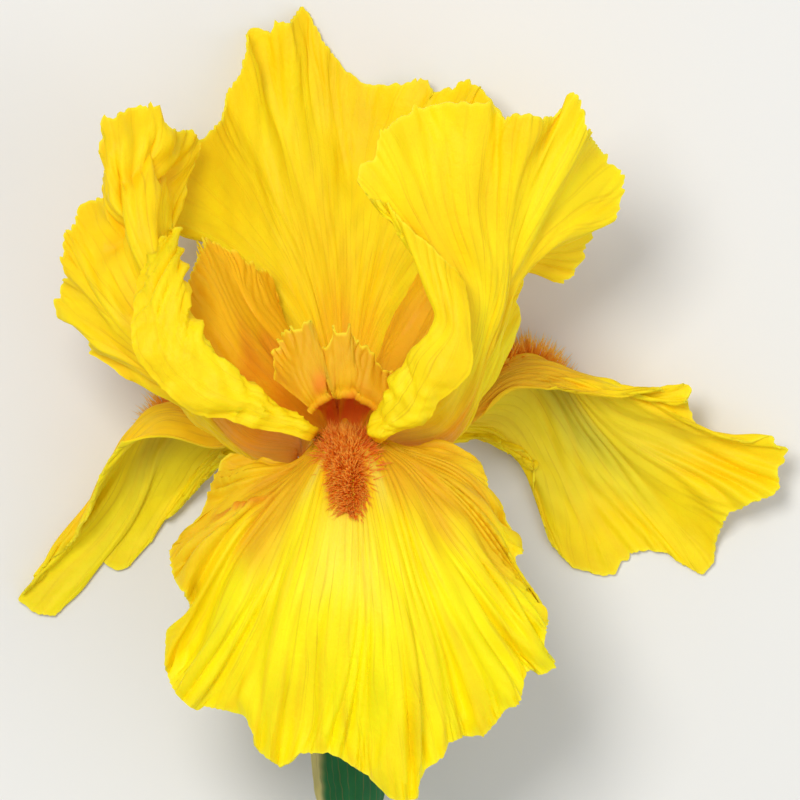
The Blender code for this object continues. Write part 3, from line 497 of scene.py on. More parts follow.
def fringeEdge(petal, grid, places):
    # Fine uneven teeth along the margin and along its free sides
    around = chordKnots(grid[:, -1])
    seed = petal["seed"]
    teeth = fringeTeeth(around, 1.5, (0, seed + 40), (0.3, seed + 41))
    teeth = teeth + 0.35 * patches(around / 2.4, 0.7, seed + 42)
    outward = unit(grid[:, -1] - grid[:, -4])
    weight = 1 - smoothStep(toMargin(grid) / edgeWork["fringeReach"])
    size = edgeWork["fringe"] * petal.get("fringe", 1.0)
    lively = np.clip(np.interp(places, petal["across"], petal["lively"]), 0.1, 1.0)
    teeth *= lively / np.maximum(1.0, np.gradient(around) / 0.7)
    grid += (size * teeth)[:, None, None] * outward[:, None, :] * weight[:, :, None]
    for column, inner in ((0, 3), (-1, -4)):
        around = chordKnots(grid[column])
        teeth = fringeTeeth(around, 0.9, (0.5, seed + 43), (0.1, seed + 44))
        outward = unit(grid[column] - grid[inner])
        teeth = teeth * smoothStep((np.linspace(0, 1, grid.shape[1]) - 0.3) / 0.2)
        for step in range(4):
            share = 1 - smoothStep(step / 4)
            moved = (size * lively[column] * share * teeth)[:, None] * outward
            grid[step if column == 0 else -1 - step] += moved


def shapePetal(petal):
    # A coarse first shape tells where the margin needs its columns closer together
    layPetal(petal)
    width = petal["across"][-1]
    rough = np.linspace(0.0, width, round(width / sheetWork["roughSpacing"]) + 1)
    around = chordKnots(foldPetal(petal, rough)[0][:, -1])
    knots = sheetWork["evenShare"] * rough / width + (1 - sheetWork["evenShare"]) * around / around[-1]
    places = np.interp(np.linspace(0.0, 1.0, sheetWork["columns"]), knots / knots[-1], rough)
    return foldPetal(petal, places)


def liftPetal(petal, places, along, numbers, lively):
    # How far the sheet is lifted: pleats from the haft, frills and crimps towards the edge, and creases. It
    # also marks where painted shade goes: in the troughs of the pleats and frills and along the creases
    u, v = places[:, None], along[None, :]
    seed = petal["seed"] * 11
    calmEdge = 0.35 + 0.65 * lively[:, None]
    pleat = folds(u, v, petal["pleatWave"], 0.8, 26, 1.6, seed)
    strength = smoothStep(v / 0.5) * (0.65 + 0.45 * patches(u / 16, v * 2, seed + 1))
    # painted shade: the troughs of the pleats are marked, to be tinted a darker gold
    petal["valley"] = smoothStep(-0.3 - pleat) * np.clip(strength, 0, 1) * 2
    lift = petal["pleat"] * pleat * strength
    frill = folds(u, v, petal["frillWave"], 0.9, 14, 1.2, seed + 2)
    size = (0.85 + 0.35 * patches(u / 12, v, seed + 3)) * calmEdge
    start = petal.get("frillFrom", 0.7)
    frill = frill * size * smoothStep((v - start) / (1 - start))
    # painted shade in the troughs of the frills too
    petal["valley"] += 1.6 * smoothStep(-0.25 - frill)
    lift = lift + petal["frill"] * frill
    crimp = folds(u, v, petal["crimpWave"], 1.2, 8, 2, seed + 4)
    lift = lift + petal["crimp"] * crimp * calmEdge * smoothStep((v - 0.84) / 0.16)
    lift = lift + petal["dent"] * patches(u / 11, v * 4.5, seed + 5) * smoothStep((v - 0.2) / 0.3)
    # painted shade along the creases: an orange tint that is deepest in each fold
    petal["stain"] = 0 * lift
    for first, final, start, end, wide, depth, stain in petal.get("creases", []):
        # a fold across the blade between two of its veins, tinted orange along it as painted shade
        band = smoothStep((numbers - first) / 0.6) * smoothStep((final - numbers) / 0.6)
        where = start + (end - start) * ((numbers - first) / (final - first))[:, None]
        where = where + 0.03 * patches(u / 9, 0.2, seed + 8)
        fold = band[:, None] * np.exp(-(((v - where) / wide) ** 2))
        lift = lift + depth * fold
        petal["stain"] += stain * fold
    if "ripple" in petal:
        # short wrinkles across the rolled margin
        start, end, size, reach = petal["ripple"]
        band = smoothStep((numbers - start) / 1.0) * smoothStep((end - numbers) / 1.0)
        lengths = np.interp(places, petal["across"], petal["lengths"])[:, None]
        wrinkle = patches(u / 13, v * lengths / 4.6, seed + 6, 11)
        wrinkle = wrinkle + 0.5 * patches(u / 5, v * lengths / 2.2, seed + 7, 11)
        wrinkle = size * band[:, None] * wrinkle * smoothStep((v - 0.2) / 0.2)
        lift = lift + wrinkle * smoothStep((reach - v) / 0.3)
    return lift


def foldPetal(petal, places):
    numbers = np.interp(places, petal["across"], np.arange(len(petal["across"])))
    stations = np.linspace(0.0, sheetWork["beyond"], sheetWork["fineRows"] + 1)
    sheet = petalSheet(petal, places, stations)
    rise = smoothStep((stations - petal["calm"]) / (1 - petal["calm"]))
    lively = np.interp(places, petal["across"], petal["lively"])
    wave = np.array([ruffle(petal, place) for place in places])
    sheet += gridNormals(sheet) * ((lively * wave)[:, None] * rise)[:, :, None]
    edge = petalEdge(petal, sheet, places, stations, numbers)
    rows = sheetWork["rows"]
    along = 1.0 - (1.0 - np.linspace(0.0, 1.0, rows + 1)) ** sheetWork["crowding"]
    grid = np.zeros((len(places), rows + 1, 3))
    for i in range(len(places)):
        for k in range(3):
            grid[i, :, k] = np.interp(edge[i] * along, stations, sheet[i, :, k])
    lift = liftPetal(petal, places, along, numbers, lively)
    grid += gridNormals(grid) * lift[:, :, None]
    settleEdge(petal, grid, places, numbers)
    fringeEdge(petal, grid, places)
    if petal.get("rests"):
        # what would reach below the ground is eased up to lie on it
        low = layout["restHeight"] + sheetWork["thickness"] / 2 + sheetWork["clear"]
        over = (grid[:, :, 2] - low) / sheetWork["ease"]
        grid[:, :, 2] = low + sheetWork["ease"] * np.logaddexp(0.0, over)
    return grid, places, numbers, along


def paintPetal(petal, places, numbers, along):
    # Tints of the outer and inner faces, with the strength of the veins in the last channel
    look = petal["look"]
    u = places[:, None] + 0 * along[None, :]
    v = along[None, :] + 0 * places[:, None]
    n = numbers[:, None] + 0 * along[None, :]
    seed = petal["seed"] * 13
    cloud = patches(u / 18, v * 3, seed)
    full = np.ones(u.shape + (3,))
    faces = []
    for side in ("outer", "inner"):
        face = look[side]
        base = blendColour(full * palette[face["base"]], palette["sun"], 0.35 + 0.35 * cloud)
        haft = 1 - smoothStep((v - face["haftEnd"] * 0.35) / (face["haftEnd"] * 0.9) + 0.12 * cloud)
        base = blendColour(base, palette[face["haft"]], haft * face["haftShare"])
        base = blendColour(base, palette[face["throat"]], 1 - smoothStep((v - 0.08) / 0.22))
        for first, final, start, end, colour, share in face["zones"]:
            middle, half = (first + final) / 2, (final - first) / 2
            zone = 1 - smoothStep((np.abs(n - middle) - half * 0.85) / min(1.2, half * 0.9) + 0.5)
            zone = zone * smoothStep((v - start) / 0.12 + 0.5) * smoothStep((end - v) / 0.14 + 0.5)
            base = blendColour(base, palette[colour], zone * share)
        # painted shade: the troughs of pleats and frills blended towards gold
        foldShadeBlend = np.clip(petal["valley"], 0, 2) * smoothStep((v - 0.15) / 0.25) * face["foldShadeShare"]
        base = blendColour(base, palette["gold"], foldShadeBlend)
        lengths = np.interp(places, petal["across"], petal["lengths"])[:, None]
        # painted shade: the creases tinted orange
        base = blendColour(base, palette["orange"], petal["stain"])
        # painted highlight: a paler band within about a millimetre of the margin
        rim = smoothStep(1 - (1 - v) * lengths / 0.9)
        base = blendColour(base, palette["rim"], rim * 0.65)
        base = base * (1 + 0.035 * patches(u / 5, v * 8, seed + 1))[..., None]
        veins = face["veins"] * (1 - 0.55 * smoothStep((v - 0.55) / 0.45)) * smoothStep((v - 0.06) / 0.1)
        veins = veins * (0.75 + 0.35 * patches(u / 14, v * 2, seed + 2))
        faces.append(np.concatenate([base, np.clip(veins, 0, 1)[..., None]], axis=2))
    return faces


def buildPetal(petal):
    grid, places, numbers, along = shapePetal(petal)
    petal["grid"], petal["places"], petal["along"] = grid, places, along
    outer, inner = paintPetal(petal, places, numbers, along)
    if petal["veins"][0][0] > petal["veins"][-1][0]:
        outer, inner = inner, outer  # its veins run the other way round
    obj = makeShell(grid, places, along, sheetWork["thickness"], outer, inner)
    finishPiece(obj, petal["node"], petalSkin)
    print("petal made:", petal["node"], len(obj.data.polygons), "faces")
    return obj


# What the two faces of a petal share. A zone is a patch of colour between two of its veins and
# two places along it, and its share of the blend
faceBase = {
    "base": "lemon",
    "haft": "gold",
    "haftEnd": 0.5,
    "haftShare": 0.7,
    "throat": "orange",
    "veins": 0.3,
    # how strongly the painted shade darkens the troughs of the folds
    "foldShadeShare": 0.1,
    "zones": [],
}

fallFront = {
    "node": "fall_front",
    "slot": "fall",
    "angle": 0.0,
    "haft": [fallHaft[0], (9.0, 6.4, 24.0), (14.0, 11.6, 19.0)],
    "ruffle": 2.0, "wave": 13.0, "calm": 0.35, "scallop": 1.3, "seed": 1, "pleat": 0.21,
    "pleatWave": 4.0, "frill": 1.35, "frillFrom": 0.55, "frillWave": 5.4, "crimp": 0.36,
    "crimpWave": 2.6, "dent": 0.26, "fringe": 0.4,
    # a crease: its first and last vein, where it lies along the blade at each, its width, its depth, and
    # the share of painted shade along it
    "creases": [(0.9, 2.9, 0.81, 0.57, 0.016, -0.8, 0.8)],
    "look": {
        "outer": faceBase | {
            "base": "lime", "haft": "green", "haftShare": 0.6, "throat": "green", "veins": 0.45,
        },
        "inner": faceBase | {
            "base": "bright", "haftShare": 0.95, "throat": "ember", "foldShadeShare": 0.22,
            "zones": [
                (-6, 3.3, 0.1, 1.2, "ochre", 0.65),
                (-6, 4.9, 0.1, 0.64, "ochre", 0.85),
                (7.0, 16, 0.1, 0.44, "ochre", 0.85),
                (7.9, 16, 0.25, 0.6, "ochre", 0.8),
                (8.9, 16, 0.4, 0.85, "ochre", 0.7),
                (9.8, 16, 0.6, 1.2, "ochre", 0.6),
                (5.2, 6.9, 0.4, 0.62, "cream", 0.28),
                (4.1, 4.7, 0.2, 0.42, "cream", 0.35),
                (7.2, 7.8, 0.2, 0.42, "cream", 0.35),
                (4.3, 7.7, 0.0, 0.3, "ember", 0.9),
            ],
        },
    },
    "cut": (0, 12),
    "margin": [
        (-18.9, -4.9), (-22.1, -7.0), (-24.7, -13.1), (-26.1, -16.6), (-29.9, -19.8), (-31.3, -23.0),
        (-31.0, -27.2), (-29.0, -30.2), (-27.9, -32.2), (-27.9, -34.7), (-29.0, -35.8), (-32.0, -36.5),
        (-32.2, -39.6), (-32.4, -43.2), (-31.0, -47.0), (-29.9, -49.0), (-26.8, -51.3), (-25.4, -50.6),
        (-21.2, -51.3), (-18.0, -52.0), (-16.6, -55.3), (-16.2, -58.0), (-13.5, -60.3), (-11.5, -61.6),
        (-9.7, -60.7), (-7.9, -59.0), (-3.2, -58.9), (-0.2, -60.3), (4.0, -63.0), (8.1, -67.1),
        (10.8, -67.9), (13.1, -67.0), (13.3, -63.9), (14.9, -61.4), (17.6, -59.8), (18.4, -57.2),
        (20.9, -56.2), (25.0, -55.8), (27.0, -53.5), (29.3, -50.8), (31.0, -50.4), (31.9, -47.9),
        (32.6, -44.6), (33.3, -43.7), (35.1, -45.0), (36.9, -44.1), (38.5, -43.2), (36.9, -42.1),
        (35.6, -41.9), (36.0, -38.7), (36.0, -34.9), (35.3, -32.2), (34.0, -29.7), (31.3, -27.9),
        (30.6, -27.5), (31.3, -24.8), (29.7, -24.3), (31.9, -23.0), (31.1, -20.7), (29.2, -17.5),
        (28.1, -14.4), (25.7, -11.5), (25.0, -9.2), (24.3, -6.7), (23.4, -5.8),
    ],
    "veins": [
        (-1.0, 0.5, [(-7.5, -6.3, 9), (-13, -6, 8), (-19.5, -5.2, 3)]),
        (-0.85, 1.3, [(-7.2, -6.3, 10), (-16, -10, 12), (-26, -17, 8)]),
        (-0.7, 1.7, [(-6.8, -6.2, 11), (-19, -15, 16.5), (-31.5, -24, 12)]),
        (-0.5, 1.5, [(-5.8, -6.2, 13), (-19.5, -22, 21), (-32.5, -42, 15)]),
        (-0.35, 0.9, [(-4.5, -6.4, 15), (-15, -27, 24.5), (-27, -51, 17)]),
        (-0.2, 0.8, [(-3, -6.7, 17), (-9, -29, 27), (-15, -58, 19)]),
        (0.0, 0.6, [(0.8, -7, 18.5), (0.5, -30, 28), (-2, -60, 21)]),
        (0.2, 0.8, [(3, -6.5, 17.5), (7.5, -30, 28), (11, -67.5, 20)]),
        (0.35, 0.9, [(5.5, -5.7, 15.5), (14.5, -28, 26), (25.5, -56, 19)]),
        (0.5, 1.0, [(7.5, -5.2, 13.5), (20, -22, 23), (36.5, -43.5, 17)]),
        (0.7, 1.0, [(9, -4.7, 12), (22, -15, 19), (35.3, -31, 14)]),
        (0.85, 0.8, [(10, -4.3, 10.8), (20, -7.5, 14), (29, -16, 11)]),
        (1.0, 0.5, [(10.5, -3.8, 9.3), (17, -2.7, 9.5), (23.5, -4.5, 6)]),
    ],
}
buildPetal(fallFront)

fallLeft = {
    "node": "fall_left",
    "slot": "fall",
    "angle": -120.0,
    "haft": fallHaft,
    "ruffle": 1.5, "wave": 12.0, "calm": 0.45, "scallop": 1.0, "seed": 2, "pleat": 0.1,
    "pleatWave": 4.6, "frill": 0.4, "frillWave": 5.5, "crimp": 0.18, "crimpWave": 2.4, "dent": 0.2,
    "fringe": 0.4,
    "rests": True,
    "look": {
        "outer": faceBase | {
            "base": "sun", "haftEnd": 0.55, "haftShare": 0.6, "throat": "green", "veins": 0.22,
            "zones": [
                (3.6, 9.5, 0.3, 0.8, "lime", 0.25),
                (4.2, 6.0, 0.25, 0.66, "green", 0.3),
                (-3, 3.2, 0.2, 0.7, "gold", 0.6),
            ],
        },
        "inner": faceBase | {
            "haftShare": 0.9,
            "zones": [(-3, 3.8, 0.1, 0.95, "gold", 0.6)],
        },
    },
    "cut": (6, 10),
    "settle": (3.5, 10),
    "wholeEdge": True,
    "margin": [
        (-53.5, -23.9), (-55.6, -27.2), (-56.3, -28.4), (-58.9, -31.3), (-57.6, -32.4), (-55.3, -34),
        (-52.2, -34.4), (-50.4, -32.2), (-48.2, -28.6), (-46.1, -25.4), (-44.6, -23.6), (-42.8, -25.2),
        (-41, -26.3), (-39.1, -25.7), (-37.3, -23.6), (-35.1, -21.2), (-33.7, -18.9), (-32.9, -17.5),
        (-30.6, -15.8), (-28.1, -13.1), (-26.3, -11.2), (-24.7, -7.9), (-22.1, -4.5),
    ],
    "veins": [
        (1.0, 0.4, [(-22, -4, -10), (-32.5, -2, -13), (-40.5, -3, -17)]),
        (0.8, 0.4, [(-23, 0, -12.5), (-33.5, 1.5, -16.5), (-44.5, -9, -22)]),
        (0.6, 0.5, [(-23.5, 2.5, -15), (-34.5, 3.2, -20), (-42, -5, -25), (-47.5, -17.5, -28)]),
        (0.4, 0.6, [(-23.8, 4, -17), (-35, 2.5, -23), (-43.5, -10, -30), (-53, -24, -33)]),
        (0.2, 0.8, [(-23.8, 4.3, -18.5), (-34.5, 1, -25.5), (-43, -14, -32.5), (-59, -31.5, -35)]),
        (0.0, 0.3, [(-23.5, 4, -20), (-33.5, -1, -27.5), (-38.5, -14, -33.4), (-53, -34.5, -36.4)]),
        (-0.2, 0.3, [(-22.5, 2.5, -23), (-31, -4.5, -29.6), (-35.5, -13, -34.1), (-45.5, -24.5, -36.2)]),
        (-0.4, 0.4, [(-21, 0.5, -25), (-28.5, -6, -31), (-33, -13.5, -34.6), (-41, -26.5, -36)]),
        (-0.6, 0.6, [(-19, -2, -26), (-25, -7.5, -31), (-33, -18, -34.4)]),
        (-0.8, 0.6, [(-17, -4, -25.5), (-22.4, -5.4, -29), (-26.5, -11.5, -31.5)]),
        (-1.0, 0.4, [(-15, -5.5, -23.5), (-18, -7, -26), (-22, -5, -28.5)]),
    ],
}
buildPetal(fallLeft)

fallRight = {
    "node": "fall_right",
    "slot": "fall",
    "angle": 120.0,
    "haft": fallHaft,
    "ruffle": 1.8, "wave": 13.0, "calm": 0.5, "scallop": 1.2, "seed": 3, "pleat": 0.22,
    "pleatWave": 5.0, "frill": 0.7, "frillWave": 5.5, "crimp": 0.18, "crimpWave": 2.4,
    "dent": 0.25, "fringe": 0.5,
    "rests": True,
    "wholeEdge": True,
    "look": {
        "outer": faceBase | {
            "haftShare": 0.6, "throat": "green", "veins": 0.22,
            "zones": [
                (1.6, 9.0, 0.3, 0.85, "lime", 0.45),
                (4.1, 6.2, 0.25, 0.72, "green", 0.45),
                (-3, 2.4, 0.2, 0.62, "gold", 0.45),
            ],
        },
        "inner": faceBase | {
            "haftShare": 0.9,
            "zones": [(-3, 3.8, 0.1, 0.75, "ochre", 0.8)],
        },
    },
    "cut": (0, 10),
    "margin": [
        (41, 10.4), (44.1, 8.6), (47, 7), (49.7, 5.6), (53.1, 5.8), (55.3, 6.1), (58.5, 7.2),
        (61.4, 7.4), (62.6, 6.5), (61.4, 4.5), (63, 0.4), (63.4, -0.7), (65, -1.1), (67.7, -2.2),
        (72.7, -3.2), (74.3, -2.9), (75.2, -2.2), (77.2, -2), (77.6, -4), (79.6, -4.1), (79, -6.5),
        (77.8, -7.9), (78.3, -11.5), (76.5, -12.8), (73.3, -13.9), (70.6, -15.3), (68.9, -15.8),
        (67.7, -18.4), (66.6, -21.2), (66.4, -24.8), (64.4, -27), (62.6, -26.1), (59.9, -24.5),
        (58, -23), (54.9, -22.5), (51.7, -23), (49.7, -24.8), (49, -26.6), (46.8, -27.2), (43.9, -26.5),
        (41, -25.6), (39.2, -23.9), (36.9, -20.9), (35.6, -17.1), (34.6, -14), (34, -12.1), (34, -6.5),
        (32.6, -4.7), (31.5, -4.5), (29.9, -5.2), (28.4, -4.5), (28.1, -2.9),
    ],
    "veins": [
        (-1.0, 0.3, [(20.5, -1, -11), (30, 6.5, -15), (38, 6.5, -18), (47, 5.2, -20)]),
        (-0.8, 0.5, [(21, 3, -13.5), (32, 9.5, -18.5), (44, 7.8, -21.5), (53, 5.2, -22.5), (61.5, 7, -23)]),
        (-0.6, 1.0, [(21.2, 5.5, -16), (33, 11.8, -22), (48, 6.5, -26), (79, -3.5, -25)]),
        (-0.4, 1.0, [(21.4, 6.6, -18), (33.8, 12.3, -24.5), (49, 1, -30), (78, -11.5, -28)]),
        (-0.2, 0.8, [(21.5, 6.8, -19.3), (34, 12.2, -26), (48, -2, -32), (68, -17.5, -32)]),
        (0.0, 0.4, [(21.4, 6.6, -20.5), (34, 11.3, -27.5), (45, -1.5, -33), (65.5, -26.2, -36)]),
        (0.2, 0.8, [(21, 5.5, -23), (33, 8, -30.5), (42, -5, -34.5), (56, -22.5, -36.4)]),
        (0.4, 0.8, [(20.5, 3.5, -25), (31.5, 4, -32), (38.5, -7, -35), (48, -26.8, -36.4)]),
        (0.6, 0.8, [(19.5, 1, -26.5), (29, 0, -31.5), (34.5, -9, -34), (39, -23.5, -35)]),
        (0.8, 0.6, [(18.5, -1.5, -26.5), (26, -2, -30), (31, -4.8, -32), (34.2, -11.5, -32.5)]),
        (1.0, 0.4, [(16.5, -3.5, -25), (22, -2.2, -28), (25, -2.7, -29), (28, -3, -29.5)]),
    ],
}
buildPetal(fallRight)

standardBack = {
    "node": "standard_back",
    "slot": "standard",
    "angle": 180.0,
    "haft": [(layout["footRadius"], layout["footHeight"], 22.0), (8.0, 9.0, 22.0)],
    "ruffle": 1.6, "wave": 11.0, "calm": 0.6, "scallop": 1.3, "seed": 4, "pleat": 0.055,
    "pleatWave": 4.4, "frill": 0.4, "frillWave": 5.0, "crimp": 0.13, "crimpWave": 2.2, "dent": 0.3,
    "fringe": 0.6,
    "rests": True,
    "look": {
        "outer": faceBase | {"haft": "lime", "throat": "green", "veins": 0.6},
        "inner": faceBase | {
            "haftEnd": 0.8, "haftShare": 0.85, "throat": "amber", "veins": 0.16,
            "zones": [(5.5, 6.5, 0.15, 0.55, "amber", 0.45), (-1, 12, 0.4, 0.8, "sun", 0.5)],
        },
    },
    "cut": (0, 9),
    "margin": [
        (-24.8, 33.3), (-30.6, 34.2), (-32.4, 38.3), (-30.8, 43.2), (-28.8, 46.3), (-26.8, 50.9),
        (-25.2, 51.7), (-22.1, 54.9), (-21.1, 60.3), (-18.9, 63), (-17.6, 67.5), (-17.6, 71.1),
        (-15.7, 71.5), (-13.9, 70.7), (-13.5, 70.2), (-12.6, 72.5), (-9.9, 72.2), (-8.1, 75.1),
        (-6.8, 74.7), (-3.6, 68.4), (0, 63.9), (3.1, 61.7), (6.3, 61.4), (9.9, 61.2), (13.5, 62.1),
        (14.9, 62.1), (15.8, 59.8), (18.9, 60.7), (20.2, 60.7), (20.3, 61.7), (22.1, 62.1), (23, 61.2),
        (24.3, 60.7),
    ],
    "veins": [
        (1.0, 0.4, [(-6, 12, -16), (-13.5, 21, -21.5), (-20, 28.5, -23), (-25.5, 33, -20)]),
        (0.8, 0.4, [(-4.6, 12.5, -15.5), (-11.5, 25, -22.5), (-21, 34, -22), (-32.4, 39, -17)]),
        (0.6, 0.4, [(-4.2, 13, -16), (-11, 29, -24), (-19, 41, -25), (-26.5, 51, -20)]),
        (0.45, 1.0, [(-3.4, 13, -16.5), (-9.5, 32, -25), (-16, 48, -29), (-20.5, 61, -27)]),
        (0.3, 1.0, [(-2.4, 13, -17), (-7, 34, -26), (-12, 54, -33), (-15.5, 71.5, -32)]),
        (0.1, 1.0, [(-1.2, 13, -17.2), (-3.5, 35, -26.5), (-6, 56, -35), (-8, 75, -34.5)]),
        (0.0, 0.8, [(0, 13, -17.3), (0.5, 35, -27), (0, 52, -36), (0, 64, -36.4)]),
        (-0.1, 1.0, [(1.2, 13, -17.2), (3.5, 34, -26), (6, 50, -35), (10, 61.3, -34.5)]),
        (-0.3, 1.0, [(2.4, 13, -17), (7, 33, -25.5), (13, 49, -31), (20.5, 61.5, -28)]),
        (-0.5, 0.6, [(3.4, 13, -16.5), (10, 31, -24), (19, 44, -27), (29, 55, -22)]),
        (-0.8, 0.4, [(4.2, 13, -16), (12, 27, -23.5), (22, 36, -25), (33, 42, -18)]),
        (-1.0, 0.4, [(6, 12, -16), (13.2, 22, -22), (20, 28, -23.5), (28, 31.5, -21)]),
    ],
}
buildPetal(standardBack)

standardLeft = {
    "node": "standard_left",
    "slot": "standard",
    "angle": -60.0,
    "haft": standardHaft,
    "ruffle": 0.8, "wave": 9.0, "calm": 0.6, "scallop": 1.2, "seed": 5, "pleat": 0.055,
    "pleatWave": 4.0, "frill": 0.6, "frillWave": 5.6, "crimp": 0.2, "crimpWave": 2.2, "dent": 0.25,
    # creases as on the front fall, the last value the share of painted shade along each
    "creases": [(3.2, 7.4, 0.88, 0.88, 0.022, -1.6, 0.12), (3.2, 7.4, 0.95, 0.95, 0.03, 1.0, 0.0)],
    "look": {
        "outer": faceBase | {
            "veins": 0.34,
            "zones": [(-1, 7, 0.3, 1.1, "gold", 0.2), (-1, 8, 0.0, 0.42, "glow", 0.6)],
        },
        "inner": faceBase | {
            "haftEnd": 0.3, "haftShare": 0.6, "throat": "amber", "veins": 0.16,
            "zones": [(6.4, 8.4, 0.5, 1.0, "amber", 0.5)],
        },
    },
    "ripple": (7.9, 13.0, 0.58, 1.3),
    "hems": [
        (
            "last",
            0.12,
            [
                (-4.9, -1.1), (-6.5, -2.9), (-8.1, -2.3), (-11.2, -1.4), (-14.0, -1.0),
                (-16.7, -0.4), (-19.1, 0.2), (-21.4, 1.3), (-24.5, 1.3), (-28.3, 2.7), (-30.6, 4.5),
                (-32.9, 6.7), (-36.2, 10.4), (-37.8, 12.8), (-38.5, 17.3), (-37.4, 25.9),
                (-34.5, 32.0),
            ],
        ),
    ],
    "cut": (0, 7.2),
    "margin": [
        (-33.5, 7.4), (-37.3, 7.9), (-40.7, 8.6), (-41, 9.9), (-45.5, 12.6), (-45.9, 15.5),
        (-49.7, 18.7), (-52, 19.4), (-52, 22.1), (-50.2, 27), (-50.9, 29.3), (-50.4, 34.2),
        (-48.2, 36.5), (-48.4, 38.3), (-46.8, 40.3), (-43.2, 40.9), (-43.7, 42.7), (-43, 47),
        (-44.8, 50.2), (-43, 51.7), (-44.6, 54.9), (-42.8, 55.6), (-42.1, 54.2), (-41, 56),
        (-37.3, 57.4), (-35.8, 57.1), (-34.9, 57.6), (-33.5, 57.4), (-32.6, 54.2), (-30.6, 52.9),
        (-28.3, 53.1), (-26.8, 52.2), (-26.6, 50.9),
    ],
    "veins": [
        (-1.0, 0.3, [(-8.5, -7.5, -5.5), (-16, -6.5, -1.5), (-25, -1, 1), (-33.5, 7.4, -1)]),
        (-0.84, 0.8, [
            (-8.8, -6.8, -4), (-16.3, -5.8, 0.5), (-26, 1.6, 4), (-34.8, 8, 3.4), (-41, 10.5, 0),
        ]),
        (-0.68, 1.0, [(-9, -6, -2.5), (-16.5, -5, 2), (-27, 3.8, 6.5), (-39, 12, 7), (-52, 20, -1)]),
        (-0.52, 1.0, [
            (-9, -5.2, -1), (-16.5, -4.2, 3.5), (-27.5, 6.5, 8.5), (-40, 21, 9), (-50.5, 34, -1),
        ]),
        (-0.36, 0.6, [(-9, -4.4, 0.5), (-16.3, -3.3, 5), (-28, 9.5, 10), (-37, 25, 7.5), (-43.3, 41, 2)]),
        (-0.2, 1.0, [(-9, -3.6, 2), (-16, -2.3, 6.3), (-28, 12, 11.5), (-37, 31, 12), (-45, 54.5, 6)]),
        (-0.04, 1.0, [
            (-8.8, -2.8, 3.5), (-15.6, -1.2, 7.5), (-28, 14, 12.5), (-35, 35, 12), (-36, 57.5, 3),
        ]),
        (0.15, 0.6, [
            (-8.5, -2, 5), (-15, 0, 9), (-27.8, 15.5, 13), (-32.4, 35, 3), (-30.4, 46, -9),
            (-26.4, 52.5, -12),
        ]),
        (0.3, 0.1, [(-8, -1, 7), (-14, 1.2, 10.5), (-27.5, 17, 13.5), (-31.4, 30, 4), (-31.4, 37.5, -6)]),
        (0.5, 0.1, [(-7.5, -0.3, 9), (-13, 2, 12.5), (-27.3, 18, 15.5), (-30.5, 28, 10), (-31.8, 35.5, 0)]),
        (0.7, 0.1, [
            (-6.5, 0, 13), (-12.3, 3.8, 16.5), (-27.8, 19.3, 19.5), (-29.2, 27, 17), (-30.2, 35, 8),
        ]),
        (0.85, 0.3, [
            (-5.4, -0.5, 8.3), (-5.2, -0.9, 15.2), (-14, 1, 18.5), (-31.5, 12.5, 21.5), (-34, 24, 19),
            (-32, 33, 10),
        ]),
        (1.0, 0.5, [
            (-5.8, -1, 8.3), (-6.4, -2.7, 15.2), (-16.5, -2.7, 17.5), (-33, 6.5, 20), (-38, 17, 19),
            (-32.5, 32, 10),
        ]),
    ],
}
buildPetal(standardLeft)

